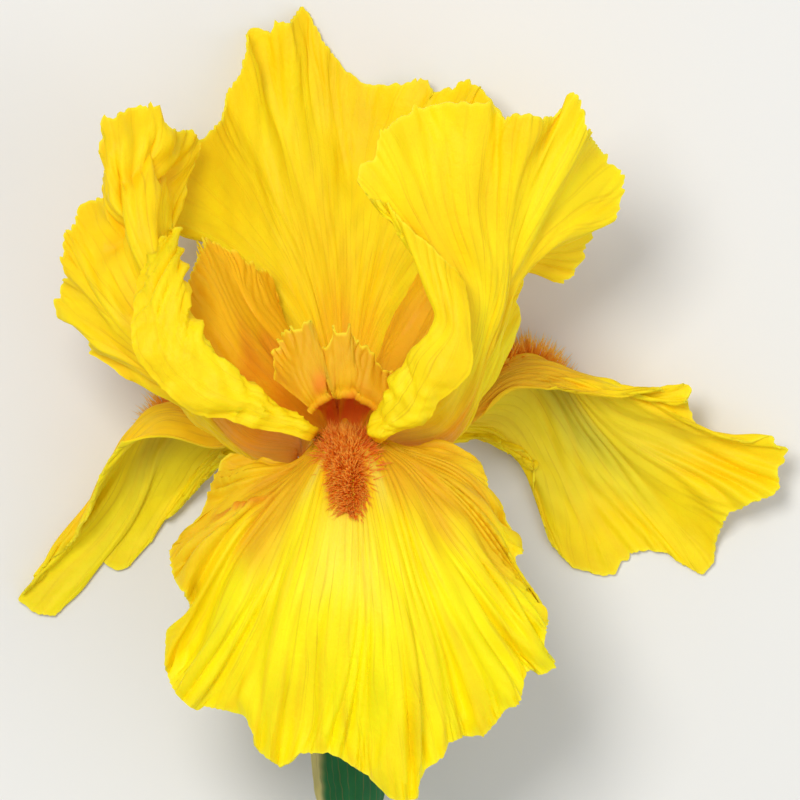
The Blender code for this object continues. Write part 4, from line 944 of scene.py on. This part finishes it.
standardRight = {
    "node": "standard_right",
    "slot": "standard",
    "angle": 60.0,
    "haft": standardHaft,
    "ruffle": 1.6, "wave": 11.0, "calm": 0.6, "scallop": 1.3, "seed": 6, "pleat": 0.055,
    "pleatWave": 4.6, "frill": 0.5, "frillWave": 5.4, "crimp": 0.15, "crimpWave": 2.3,
    "dent": 0.45,
    "look": {
        "outer": faceBase | {
            "haftEnd": 0.45,
            "zones": [(9, 17, 0.0, 0.36, "orange", 0.6)],
        },
        "inner": faceBase | {"haftEnd": 0.3, "haftShare": 0.6, "throat": "amber", "veins": 0.2},
    },
    "ripple": (-1.0, 4.2, 0.55, 0.8),
    "settle": (0, 15),
    "wholeEdge": True,
    "hems": [
        (
            "first",
            0.12,
            [
                (5.6, -4.1), (8.2, -1.6), (11.2, -0.5), (14.2, 0.2), (15.8, 2.0), (16.7, 4.5), (19.4, 6.1),
                (22.5, 9.2), (23.0, 11.7), (22.6, 15.5), (22.5, 19.4), (21.4, 25.6),
            ],
        ),
    ],
    "cut": (4, 15),
    "margin": [
        (21.0, 26.4), (19.5, 28.5), (17.2, 30.5), (14.8, 32.8), (12.5, 34.6), (9.8, 37.2),
        (7.6, 40), (4.9, 40.5), (3.1, 42.3), (2, 44.5), (2.7, 46.8), (5.6, 48.2), (5.8, 50.8),
        (6.5, 52.9), (12.6, 56.9), (18.9, 58.1), (26.1, 58.1), (28.8, 54.9), (29.7, 55.6), (33.3, 56),
        (34.2, 55.3), (37.4, 55.3), (39.6, 57.2), (40, 59.9), (41.2, 59.8), (42.3, 58.5), (43.6, 54),
        (43.2, 53.1), (45.4, 49.9), (46.8, 48.6), (49.7, 45.9), (50.2, 42.3), (48.6, 36.9),
        (44.8, 35.5), (44.5, 33.7), (43.2, 32.4), (42.8, 30.2), (40.5, 26.6), (39.2, 25.7),
        (37.4, 25.9), (36, 27.9), (33.3, 27.9), (32.4, 27), (31.9, 25.2), (30.8, 22.5), (31.5, 20),
        (31.5, 17.8), (29.9, 16.2),
    ],
    "veins": [
        (-1.0, 0.5, [
            (5.4, -0.9, 8), (6, -3, 15.5), (15.6, 1, 21), (22, 10, 24.2), (23.3, 15.5, 24.5),
            (22.4, 20.5, 23.8), (20.8, 26.5, 21.8),
        ]),
        (-0.88, 0.3, [
            (4.8, -0.3, 8.3), (4.3, -1.6, 16), (12, 2, 21.5), (17, 11, 24.5), (20, 17, 25),
            (19.4, 22, 24.5), (17.2, 30, 23),
        ]),
        (-0.76, 0.1, [
            (4.6, 0.3, 8.3), (4, 0.2, 14.5), (8.4, 5, 19.5), (12.8, 13.5, 22.8), (17, 18.8, 24),
            (15.6, 24, 24.4), (13, 33.5, 24.3),
        ]),
        (-0.62, 0.1, [
            (5.6, 0, 8), (5.8, 1, 12.5), (9.5, 5, 17), (13, 13.5, 19.8), (17, 18.8, 21.5),
            (14.4, 25, 23), (9.6, 37, 25),
        ]),
        (-0.48, 0.4, [(6.4, 0.4, 11), (11.5, 3, 15.3), (17.8, 18.2, 19), (12.8, 29, 22.5), (7.5, 40, 25)]),
        (-0.34, 0.8, [(7, 0, 9.5), (12.8, 2.5, 14), (19.5, 18.5, 18), (12, 34, 23), (2, 45, 27)]),
        (-0.2, 0.8, [(7.5, -0.5, 8), (14, 1.8, 12.5), (22, 19.5, 17), (14, 37, 22.5), (6, 52.5, 26)]),
        (-0.08, 0.8, [(8, -1.2, 6.5), (15, 1, 11), (23.5, 20, 16), (18, 39, 22), (14, 56.5, 25)]),
        (0.05, 0.8, [(8.4, -2, 5), (15.8, 0, 9.5), (25, 20, 15), (23.5, 40, 21.5), (26, 58, 24)]),
        (0.2, 0.8, [(8.7, -2.8, 3.5), (16.5, -1, 8), (26, 19, 13.5), (28.5, 40, 20), (31, 54.5, 23)]),
        (0.36, 1.0, [(8.9, -3.6, 2), (17, -2, 6.5), (27, 17.5, 12), (33, 40, 18), (41, 59.5, 18)]),
        (0.5, 1.0, [
            (9, -4.4, 0.5), (17.2, -2.8, 5), (26.5, 15.5, 10.5), (30, 26, 13), (35.5, 36.5, 15),
            (44.5, 50.5, 12),
        ]),
        (0.64, 1.0, [
            (9, -5.2, -1), (17.3, -3.5, 3.3), (26, 13.5, 9), (30.2, 25, 11), (36.5, 34, 12),
            (50, 42.5, 6),
        ]),
        (0.76, 0.8, [(9, -6, -2.5), (17.2, -4.2, 1.5), (26, 11, 6.5), (31.6, 27.5, 7.5), (43, 33.5, 3)]),
        (0.88, 0.6, [
            (8.8, -6.8, -4), (16.8, -4.8, -0.5), (25.6, 9, 3.5), (28.8, 20, 3), (32.2, 29.2, 1),
            (40.5, 27.5, -3),
        ]),
        (1.0, 0.3, [(8.5, -7.5, -5.5), (16, -5.5, -3), (25, 5, -1), (29.5, 13, -4), (31.5, 19.5, -7)]),
    ],
}
buildPetal(standardRight)

# Style arms: each arches over its fall, bends at its lip and stands up in two fringed crests

styleFoot = [(2.3, layout["footHeight"], 40.0), (3.6, 8.0, 38.0)]
styleWork = {"spacing": 0.2, "rows": 80, "crowding": 1.2, "thickness": 0.45, "toothWave": 1.5, "tooth": 2.4}


def buildStyle(style):
    layPetal(style)
    width = style["across"][-1]
    places = np.linspace(0.0, width, round(width / styleWork["spacing"]) + 1)
    numbers = np.interp(places, style["across"], np.arange(len(style["across"])))
    lengths = np.interp(places, style["across"], style["lengths"])
    along = 1.0 - (1.0 - np.linspace(0.0, 1.0, styleWork["rows"] + 1)) ** styleWork["crowding"]
    stations = np.linspace(0.0, sheetWork["beyond"], 121)
    sheet = petalSheet(style, places, stations)
    # the fringe: long and short teeth, cut deeper in some places
    phase = places / styleWork["toothWave"] + 0.6 * patches(places / 5, 0, style["seed"])
    teeth = (1 - np.abs(2 * (phase - np.floor(phase)) - 1)) ** 1.7
    deep = 0.5 + 0.6 * patches(places / 3.1, 0.5, style["seed"] + 1)
    fine = np.abs(np.sin(math.pi * places / 0.8)) * 0.2
    grid = np.zeros((len(places), len(along), 3))
    for i in range(len(places)):
        for k in range(3):
            grid[i, :, k] = np.interp(along, stations, sheet[i, :, k])
    if "margin" in style:
        settleEdge(style, grid, places, numbers)
    outward = unit(grid[:, -1] - grid[:, -6])
    teeth = style.get("tooth", styleWork["tooth"]) * (teeth * np.clip(deep, 0.1, 1.3) + fine - 0.35)
    weight = smoothStep((along - 1.0) * np.mean(lengths) / 3.0 + 1.0)
    grid += teeth[:, None, None] * outward[:, None, :] * weight[None, :, None]
    u, v = places[:, None], along[None, :]
    seed = style["seed"] * 17
    lift = 0.07 * folds(u, v, 2.4, 0.8, 9, 2, seed) * smoothStep((v - 0.3) / 0.3)
    crinkle = folds(u, v, 2.6, 1.1, 6, 3, seed + 1)
    uneven = np.clip(0.6 + 0.7 * patches(u / 5, v, seed + 4), 0, 1.4)
    lift = lift + 0.26 * crinkle * uneven * smoothStep((v - 0.82) / 0.18)
    lift = lift + 0.22 * patches(u / 8, v * 3.5, seed + 2) * smoothStep((v - 0.3) / 0.3)
    if "lip" in style:
        # the pale lip, a fold across the arm where it turns up
        knots = [line[0][style["lip"]] for line in style["lines"]]
        bend = np.interp(places, style["across"], knots)[:, None]
        size = 0.9 * (1 - 0.85 * np.exp(-(((numbers - style["cleft"]) / 0.6) ** 2)))[:, None]
        lift = lift - size * np.exp(-(((v - bend - 0.01) / 0.035) ** 2))
    grid += gridNormals(grid) * lift[:, :, None]
    full = np.ones((len(places), len(along), 3))
    cloud = patches(u / 8, v * 4, seed + 3)
    crest = smoothStep((v - style["crest"] + 0.05 + 0.08 * cloud) / 0.34) * np.ones((len(places), 1))
    sides = []
    for low, high in style["tints"]:
        base = blendColour(full * palette[low], palette[high], crest)
        base = blendColour(base, palette["gold"], 0.12 + 0.25 * cloud)
        # painted highlight: a paler band along the arm's edge and crests
        rim = smoothStep(1 - (1 - v) * lengths[:, None] / 0.8)
        base = blendColour(base, palette["rim"], rim * 0.7)
        if "lip" in style:
            lip = 0.8 * np.exp(-(((v - bend - 0.01) / 0.03) ** 2)) + 0 * u
            base = blendColour(base, palette["gold"], lip)
        veins = 0.14 * (1 - crest * 0.5)
        sides.append(np.concatenate([base, np.clip(veins, 0, 1)[..., None]], axis=2))
    if style["veins"][0][0] > style["veins"][-1][0]:
        sides.reverse()
    obj = makeShell(grid, places, along, styleWork["thickness"], sides[1], sides[0])
    finishPiece(obj, style["node"], petalSkin)
    print("style arm made:", style["node"])


styleFront = {
    "node": "style_arm_front",
    "angle": 0.0,
    "haft": styleFoot,
    "seed": 31,
    "tooth": 1.5,
    "crest": 0.55,
    "tints": (("amber", "ochre"), ("ember", "ochre")),
    "lip": 4,
    "cleft": 4,
    "settle": (0, 9),
    "wholeEdge": True,
    "margin": [
        (-13.7, 7.6), (-12.6, 9.9), (-13.1, 11.7), (-13.3, 13.5), (-11.9, 14.2), (-11.5, 16.4),
        (-9.5, 17.3), (-7.9, 17.6), (-7.6, 18.9), (-6.3, 18.9), (-5.9, 16.4), (-5.2, 13.7),
        (-4.5, 12.2), (-4.3, 13.7), (-2.5, 14.9), (-2.0, 17.1), (-1.3, 16.6), (0.5, 16.9),
        (0.9, 18.4), (1.3, 16.0), (2.5, 14.2), (3.6, 14.4), (4.7, 13.7), (5.2, 11.9), (7.0, 9.9),
        (8.5, 9.7), (9.4, 8.3),
    ],
    "veins": [
        (-1.0, 0, [(-4.2, 2.2, 0), (-5.6, 2.5, 9), (-6.2, 2.2, 13.5), (-7.4, 4, 14), (-13.7, 8.6, 10.2)]),
        (-0.8, 0, [
            (-3.4, 3, 0.5), (-4.6, 3.8, 9), (-5.3, 3.4, 14), (-6.2, 5.2, 14.8), (-12.3, 13.8, 12.5),
        ]),
        (-0.58, 0, [
            (-2.4, 3.6, 1), (-3.4, 4.9, 9.2), (-3.8, 4.6, 14.6), (-4.6, 6.6, 15.4), (-9, 17.7, 15.5),
        ]),
        (-0.42, 0, [
            (-1.8, 3.9, 1), (-2.4, 5.4, 9.3), (-2.8, 5.1, 14.8), (-3.4, 7.2, 15.6), (-6.5, 18.8, 16),
        ]),
        (-0.3, 0, [(-1.3, 4, 1), (-1.8, 5.6, 9.4), (-2.1, 5.4, 15), (-2.6, 7.4, 15.7), (-4.4, 12.6, 15)]),
        (-0.12, 0, [
            (-0.5, 4.1, 1), (-0.7, 5.8, 9.4), (-0.8, 5.5, 15), (-1, 7.5, 15.8), (-2.5, 16.8, 16.2),
        ]),
        (0.12, 0, [(0.5, 4.1, 1), (0.7, 5.8, 9.4), (0.8, 5.5, 15), (0.8, 7.5, 15.8), (0.8, 18.4, 16.5)]),
        (0.4, 0, [(1.7, 3.9, 1), (2.3, 5.3, 9.3), (2.6, 4.8, 14.7), (2.8, 6.8, 15.5), (3.5, 14.2, 15)]),
        (0.72, 0, [(3, 3.2, 0.5), (4.2, 4.1, 9.1), (4.7, 3.6, 14.2), (5.2, 5.4, 14.9), (6.6, 11.6, 13)]),
        (1.0, 0, [(4.2, 2.2, 0), (5.6, 2.5, 9), (6.2, 2.2, 13.5), (7, 3.8, 14), (9.8, 8.8, 10.3)]),
    ],
}
styleLeft = {
    "node": "style_arm_left",
    "angle": -120.0,
    "haft": styleFoot,
    "seed": 32,
    "crest": 0.46,
    "tints": (("amber", "gold"), ("amber", "gold")),
    "veins": [
        (1.0, 0, [(-9.5, -0.5, -1.5), (-16.5, 3.4, 1), (-26, 12.2, 2.5), (-31.4, 24, -2)]),
        (0.7, 0, [(-9, 3, -2), (-14.6, 7.8, 1.2), (-22, 16.6, 2.2), (-28.6, 26, -4)]),
        (0.4, 0, [(-8.5, 5.5, -3.5), (-13, 10.5, -2), (-20, 20, -1), (-26.2, 31.5, -8)]),
        (0.1, 0, [(-8, 7, -6), (-12, 12, -6), (-17.5, 21, -7.5), (-23.4, 33, -12.5)]),
        (-0.1, 0, [(-7.5, 8.5, -7), (-12, 14.2, -7.5), (-17.6, 22.4, -8.4), (-19.8, 31, -13)]),
        (-0.4, 0, [(-7, 8.5, -9), (-10.5, 15.5, -10.5), (-14.6, 24, -13), (-16.4, 28.4, -15)]),
        (-0.7, 0, [(-6, 7, -11), (-9, 14, -13), (-12.5, 22, -16), (-14.5, 28, -18)]),
        (-1.0, 0, [(-5.5, 4.5, -11.5), (-8, 11, -14), (-11, 18, -17), (-12, 23, -18.5)]),
    ],
}
styleRight = {
    "node": "style_arm_right",
    "angle": 120.0,
    "haft": styleFoot,
    "seed": 33,
    "crest": 0.72,
    "tints": (("ochre", "gold"), ("ochre", "gold")),
    "veins": [
        (-1.0, 0, [(8.5, 0, -1), (12, 3.5, 1.5), (20, 12, 2.5), (26, 24.5, -3)]),
        (-0.7, 0, [(8.2, 3, -2), (11.5, 6.5, 0), (19, 16, 0.5), (25, 28, -6)]),
        (-0.4, 0, [(7.5, 5, -3.5), (10, 8.6, -3), (17, 19, -2.5), (23, 30.5, -9)]),
        (-0.1, 0, [(6.8, 6.5, -6), (8.8, 10, -6.5), (14.5, 20, -8), (19.5, 28.5, -12.5)]),
        (0.1, 0, [(6.2, 8, -7), (7.8, 11.8, -8), (13, 21.5, -9), (17.5, 29.5, -13.5)]),
        (0.4, 0, [(5.6, 8, -9), (6.8, 12.5, -10.5), (11, 22.5, -14), (15, 29.5, -16.5)]),
        (0.7, 0, [(5, 6.8, -10.8), (6, 11.5, -12), (9, 19.5, -14.3), (12.5, 26, -17)]),
        (1.0, 0, [(4.5, 4.5, -11.3), (5.2, 9.5, -12.3), (7.5, 16, -14.5), (10.5, 21.5, -16.8)]),
    ],
}
for style in (styleFront, styleLeft, styleRight):
    buildStyle(style)

# Beards: a bed of soft tapering hairs along the middle of each fall

beardFront = {
    "node": "beard_front",
    "fall": fallFront,
    "span": (0.12, 0.44),
    "bed": 7.2,
    "hairs": 3200,
    "length": 3.8,
    "spread": 60,
    "forward": 1.0,
    "root": srgb(244, 112, 16),
    "tip": srgb(250, 154, 36),
}
sideBeard = {"spread": 25, "root": srgb(255, 150, 22), "tip": srgb(255, 196, 60)}
beardLeft = sideBeard | {
    "node": "beard_left",
    "fall": fallLeft,
    "span": (0.26, 0.5),
    "bed": 5.0,
    "hairs": 3600,
    "length": 7.0,
    "forward": 0.8,
}
beardRight = sideBeard | {
    "node": "beard_right",
    "fall": fallRight,
    "span": (0.2, 0.58),
    "bed": 3.8,
    "hairs": 2800,
    "length": 5.6,
    "forward": 1.0,
}
hairWork = {"rings": 3, "sides": 3, "radius": 0.13, "sunk": 0.15, "foot": 1.05, "taper": 0.75}


def hairRoot(beard, bed, seat, draw):
    # A place in the bed, which narrows along the fall: the hair's share along it, side, column, row, root
    rows = bed.shape[1]
    share = draw.random()
    side = max(-1.0, min(1.0, draw.gauss(0.0, 0.5)))
    row = min(int(share * rows), rows - 1)
    near = np.linalg.norm(bed[:, row] - bed[seat, row], axis=1)
    wide = beard["bed"] * (1.0 - 0.82 * share**1.3)
    half = near[: seat + 1][::-1] if side < 0 else near[seat:]
    step = int(np.argmin(np.abs(half - abs(side) * wide)))
    column = seat + (-step if side < 0 else step)
    beside = min(column + 1, len(bed) - 1)
    root = bed[column, row] + (bed[beside, row] - bed[column, row]) * draw.random()
    root = root + (bed[column, min(row + 1, rows - 1)] - bed[column, row]) * draw.random()
    return share, side, column, row, root


def addHair(points, faces, tints, foot, way, length, bend, up, cross):
    # Rings that taper to a point, closed at the foot
    base = len(points)
    sides, rings = hairWork["sides"], hairWork["rings"]
    a = np.cross(way, cross + 0.01 * up)
    a /= np.linalg.norm(a)
    b = np.cross(way, a)
    for ring in range(rings):
        t = ring / rings
        centre = foot + way * length * t + bend * length * t * t * 0.5
        radius = hairWork["radius"] * (hairWork["foot"] - hairWork["taper"] * t)
        for s in range(sides):
            turn = 2 * math.pi * s / sides
            points.append(centre + radius * (math.cos(turn) * a + math.sin(turn) * b))
            tints.append(t)
    points.append(foot + way * length + bend * length * 0.5)
    tints.append(1.0)
    faces.append([base + s for s in range(sides)])
    for ring in range(rings - 1):
        for s in range(sides):
            low, high = base + ring * sides + s, base + ring * sides + (s + 1) % sides
            faces.append([low, low + sides, high + sides, high])
    top = base + (rings - 1) * sides
    for s in range(sides):
        faces.append([top + s, base + rings * sides, top + (s + 1) % sides])


def buildBeard(beard):
    fall = beard["fall"]
    middle = next(i for i, vein in enumerate(fall["veins"]) if vein[0] == 0.0)
    seat = int(np.argmin(np.abs(fall["places"] - fall["across"][middle])))
    first, last = (int(np.searchsorted(fall["along"], share)) for share in beard["span"])
    bed = fall["grid"][:, first : last + 1]
    ups = gridNormals(bed)
    if np.dot(ups[seat, 0], stalkWay) < 0:
        ups = -ups
    crosses = np.gradient(bed, axis=0)
    crosses /= np.linalg.norm(crosses, axis=2, keepdims=True)
    draw = random.Random(fall["seed"] + 70)
    bpy.ops.object.select_all(action="DESELECT")
    bpy.ops.mesh.primitive_cone_add(vertices=hairWork["sides"], radius1=1.0, radius2=0.0, depth=1.0)
    obj = bpy.context.object
    points, faces, tints = [], [], []
    for i in range(beard["hairs"]):
        share, side, column, row, root = hairRoot(beard, bed, seat, draw)
        up, cross = ups[column, row], crosses[column, row]
        forward = np.cross(up, cross)
        if np.dot(forward, bed[seat, -1] - bed[seat, 0]) < 0:
            forward = -forward
        spread = math.radians(side * (beard["spread"] + 25 * share) + draw.uniform(-18, 18))
        spread = max(-1.35, min(1.35, spread))
        swept = (draw.uniform(0.0, 0.5) + 0.5 * (share - 0.4)) * beard["forward"]
        way = up * math.cos(spread) + cross * math.sin(spread) + forward * swept
        way /= np.linalg.norm(way)
        length = beard["length"] * draw.uniform(0.6, 1.1) * (0.62 + 0.38 * math.sin(math.pi * share))
        bend = forward * draw.uniform(0.0, 0.25) + cross * draw.uniform(-0.2, 0.2)
        addHair(points, faces, tints, root - up * hairWork["sunk"], way, length, bend, up, cross)
    mesh = bpy.data.meshes.new(beard["node"])
    mesh.from_pydata([tuple(p) for p in placePoints(points)], [], faces)
    old = obj.data
    obj.data = mesh
    bpy.data.meshes.remove(old)
    obj.location = (0, 0, 0)
    share = np.array(tints)
    colours = blendColour(np.ones((len(tints), 3)) * beard["root"], beard["tip"], share * share)
    setTint(obj, np.concatenate([colours, np.ones((len(tints), 1))], axis=1))
    bpy.ops.object.shade_smooth()
    finishPiece(obj, beard["node"], beardHair)
    print("beard made:", beard["node"], len(faces), "faces")


for beard in (beardFront, beardLeft, beardRight):
    buildBeard(beard)

# Round pieces: the stamens, the ovary with its tube, and the stem


def makeTube(points, radii, sides):
    curve = bpy.data.curves.new("tube", "CURVE")
    curve.dimensions = "3D"
    curve.bevel_depth = mm
    curve.bevel_resolution = sides
    curve.use_fill_caps = True
    line = curve.splines.new("POLY")
    line.points.add(len(points) - 1)
    for target, point, radius in zip(line.points, placePoints(points), radii):
        target.co = (*point, 1.0)
        target.radius = radius
    obj = bpy.data.objects.new("tube", curve)
    bpy.context.scene.collection.objects.link(obj)
    bpy.ops.object.select_all(action="DESELECT")
    bpy.context.view_layer.objects.active = obj
    obj.select_set(True)
    bpy.ops.object.convert(target="MESH")
    bpy.ops.object.mode_set(mode="EDIT")
    bpy.ops.mesh.select_all(action="SELECT")
    bpy.ops.mesh.remove_doubles(threshold=0.00001)
    bpy.ops.mesh.normals_make_consistent(inside=False)
    bpy.ops.object.mode_set(mode="OBJECT")
    bpy.ops.object.shade_smooth_by_angle(angle=math.radians(50))
    return bpy.context.object


def smoothLine(rows, count):
    # More points along a line, its thickness with them
    points = np.array([row[0] for row in rows], float)
    radii = np.array([[row[1]] for row in rows], float)
    knots = chordKnots(points)
    where = np.linspace(0.0, knots[-1], count)
    return through(knots, points, where), np.maximum(through(knots, radii, where)[:, 0], 0.1)


# Each point of a stamen: its distance from the axis, its height and its thickness
stamenLine = [
    (3.9, 0.7, 0.55), (4.6, 5.0, 0.55), (6.4, 9.5, 0.55), (6.9, 10.6, 0.8), (7.9, 12.0, 0.95),
    (8.8, 13.2, 0.5),
]
for node, angle in (("stamen_front", 0.0), ("stamen_left", -120.0), ("stamen_right", 120.0)):
    rows = [(flowerPoint(angle, radius, height), thick) for radius, height, thick in stamenLine]
    points, radii = smoothLine(rows, 24)
    stamen = makeTube(points, radii, 3)
    share = np.ones(len(stamen.data.vertices))
    # painted shade: the stamens are tinted amber, darker than their own cream, to sit in the shade of the
    # throat
    colours = np.ones((len(share), 3)) * palette["amber"]
    setTint(stamen, np.concatenate([colours, share[:, None]], axis=1))
    finishPiece(stamen, node, stalkSkin)

stalk = {
    "ovary": [
        (0.0, 6.4), (-2.5, 4.6), (-6.0, 3.4), (-14.0, 3.2), (-18.0, 3.9), (-25.0, 4.6), (-36.0, 4.7),
        (-44.0, 4.0), (-46.0, 3.6),
    ],
    "stemTop": -46.3,
    "stem": [
        ((0.1, -55.3, -18.5), 3.6),
        ((0.8, -68.0, -21.6), 3.8),
        ((1.2, -80.0, -25.0), 3.9),
        ((1.3, -92.0, -28.6), 3.9),
        ((1.2, -105.0, -31.9), 4.0),
    ],
    "stemColour": srgb(22, 84, 42),
    "stemLow": srgb(28, 88, 40),
    "ovaryColour": srgb(96, 140, 62),
    "tubeColour": srgb(222, 186, 48),
}


def paintStalk(obj, low, high, seed):
    coords = np.array([v.co[:] for v in obj.data.vertices]) / mm
    share = (coords[:, 1] - coords[:, 1].min()) / np.ptp(coords[:, 1])
    colours = blendColour(np.ones((len(coords), 3)) * low, high, share)
    colours = colours * (1 + 0.06 * patches(coords[:, 0] / 3, coords[:, 1] / 16, seed))[:, None]
    setTint(obj, np.concatenate([colours, np.ones((len(coords), 1))], axis=1))


rows = [(flowerPoint(0.0, 0.0, height), radius) for height, radius in stalk["ovary"]]
points, radii = smoothLine(rows, 60)
ovary = makeTube(points, radii, 6)
paintStalk(ovary, stalk["ovaryColour"], stalk["tubeColour"], 3)
finishPiece(ovary, "ovary", stalkSkin)
points, radii = smoothLine(stalk["stem"], 70)
stem = makeTube(points, radii, 6)
paintStalk(stem, stalk["stemLow"], stalk["stemColour"], 4)
finishPiece(stem, "stem", stalkSkin)
print("stamens, ovary and stem made")

# Spathe valves: papery sheets wrapped round the ovary and the top of the stem

spatheWork = {
    "columns": 90,
    "rows": 110,
    "thickness": 0.4,
    "green": srgb(34, 104, 56),
    "papery": srgb(196, 184, 112),
}
spatheOuter = {
    "node": "spathe_outer",
    "from": -64.0,
    "to": -14.0,
    "centre": 45.0,
    "half": 135.0,
    "base": 0.4,
    "clear": 1.7,
    "seed": 51,
}
spatheInner = {
    "node": "spathe_inner",
    "from": -56.0,
    "to": -20.0,
    "centre": -115.0,
    "half": 95.0,
    "base": 0.4,
    "clear": 0.45,
    "seed": 52,
}


def stalkCentre(height):
    if height >= stalk["stemTop"]:
        return flowerPoint(0.0, 0.0, height)
    line = np.array([point for point, _ in stalk["stem"]], float)
    return through(chordKnots(line), line, stalk["stemTop"] - height)[0]


def stalkRadius(height):
    below = chordKnots(np.array([point for point, _ in stalk["stem"]], float))
    rows = [(stalk["stemTop"] - distance, radius) for distance, (_, radius) in zip(below, stalk["stem"])]
    rows = sorted(stalk["ovary"] + rows)
    return float(np.interp(height, [h for h, _ in rows], [r for _, r in rows]))


def buildSpathe(spathe):
    columns, rows = spatheWork["columns"], spatheWork["rows"]
    grid = np.zeros((columns + 1, rows + 1, 3))
    turns = np.linspace(-1.0, 1.0, columns + 1)
    along = np.linspace(0.0, 1.0, rows + 1)
    seed = spathe["seed"]
    ragged = 0.02 * patches(along * 9, 0, seed) + 0.012 * patches(along * 31, 0, seed + 1)
    for j, v in enumerate(along):
        height = spathe["from"] + (spathe["to"] - spathe["from"]) * v
        half = spathe["half"] * (1.0 - 0.95 * smoothStep((v - 0.45) / 0.55)) + 2.0
        belly = 1.6 * math.sin(math.pi * min(v * 1.2, 1.0))
        clear = spathe["base"] + (spathe["clear"] - spathe["base"]) * smoothStep(v / 0.13)
        radius = stalkRadius(height) + spatheWork["thickness"] / 2 + 0.05 + clear + belly * 0.6
        centre = stalkCentre(height)
        angles = np.radians(spathe["centre"] + half * turns * (1.0 + ragged[j]))
        crease = 0.14 * np.sin(turns * 26) * smoothStep(v / 0.15)
        outward = np.sin(angles)[:, None] * rightWay + np.cos(angles)[:, None] * frontWay
        grid[:, j] = centre + (radius + crease)[:, None] * outward
    places = (turns + 1) * spathe["half"] * 0.09
    papery = smoothStep((np.abs(turns)[:, None] - 0.66 + 0.3 * along[None, :]) / 0.16)
    papery = np.maximum(papery, smoothStep((along[None, :] - 0.6) / 0.3))
    full = np.ones((columns + 1, rows + 1, 3))
    base = blendColour(full * spatheWork["green"], spatheWork["papery"], papery)
    base = base * (1 + 0.08 * patches(turns[:, None] * 3, along[None, :] * 5, seed + 2))[..., None]
    tint = np.concatenate([base, 0.5 * np.ones((columns + 1, rows + 1, 1))], axis=2)
    obj = makeShell(grid, places, along, spatheWork["thickness"], tint, tint)
    finishPiece(obj, spathe["node"], spatheSkin)


buildSpathe(spatheOuter)
buildSpathe(spatheInner)
print("spathes made")

# Floor, light and camera

room = {
    "floorSize": 6.0,
    "floorTone": (0.80, 0.80, 0.78),
    "world": (0.95, 0.97, 1.0),
    "worldStrength": 0.52,
    "lamps": [
        {"name": "key", "at": (-0.3, 0.36, 1.25), "size": 0.45, "energy": 9.6, "tone": (1.0, 0.97, 0.92)},
        {"name": "fill", "at": (0.9, -0.3, 0.9), "size": 0.9, "energy": 3.4, "tone": (0.93, 0.96, 1.0)},
    ],
    "frameWidth": 144.0,
}

bpy.ops.object.select_all(action="DESELECT")
bpy.ops.mesh.primitive_plane_add(size=room["floorSize"], location=(0, 0, -0.0002))
floor = bpy.context.object
floor.name = "floor"
floorPaint = bpy.data.materials.new("floorPaint")
floorPaint.use_nodes = True
floorPaint.node_tree.nodes["Principled BSDF"].inputs["Base Color"].default_value = (*room["floorTone"], 1.0)
floorPaint.node_tree.nodes["Principled BSDF"].inputs["Roughness"].default_value = 0.8
floor.data.materials.append(floorPaint)

world = bpy.data.worlds.new("studio")
world.use_nodes = True
world.node_tree.nodes["Background"].inputs[0].default_value = (*room["world"], 1.0)
world.node_tree.nodes["Background"].inputs[1].default_value = room["worldStrength"]
bpy.context.scene.world = world
for lamp in room["lamps"]:
    light = bpy.data.lights.new(lamp["name"], "AREA")
    light.shape = "SQUARE"
    light.size = lamp["size"]
    light.energy = lamp["energy"]
    light.color = lamp["tone"]
    holder = bpy.data.objects.new(lamp["name"], light)
    bpy.context.scene.collection.objects.link(holder)
    holder.location = lamp["at"]
    holder.rotation_euler = (-Vector(lamp["at"])).to_track_quat("-Z", "Y").to_euler()

camera = bpy.data.cameras.new("camera")
camera.sensor_width = 36.0
camera.lens = camera.sensor_width * layout["viewHeight"] / room["frameWidth"]
camera.clip_end = 20.0
cameraHolder = bpy.data.objects.new("camera", camera)
bpy.context.scene.collection.objects.link(cameraHolder)
cameraHolder.location = placePoints([(*layout["viewMiddle"], layout["viewHeight"])])[0]
bpy.context.scene.camera = cameraHolder
bpy.context.scene.view_settings.view_transform = "Standard"
print("floor, light and camera set")
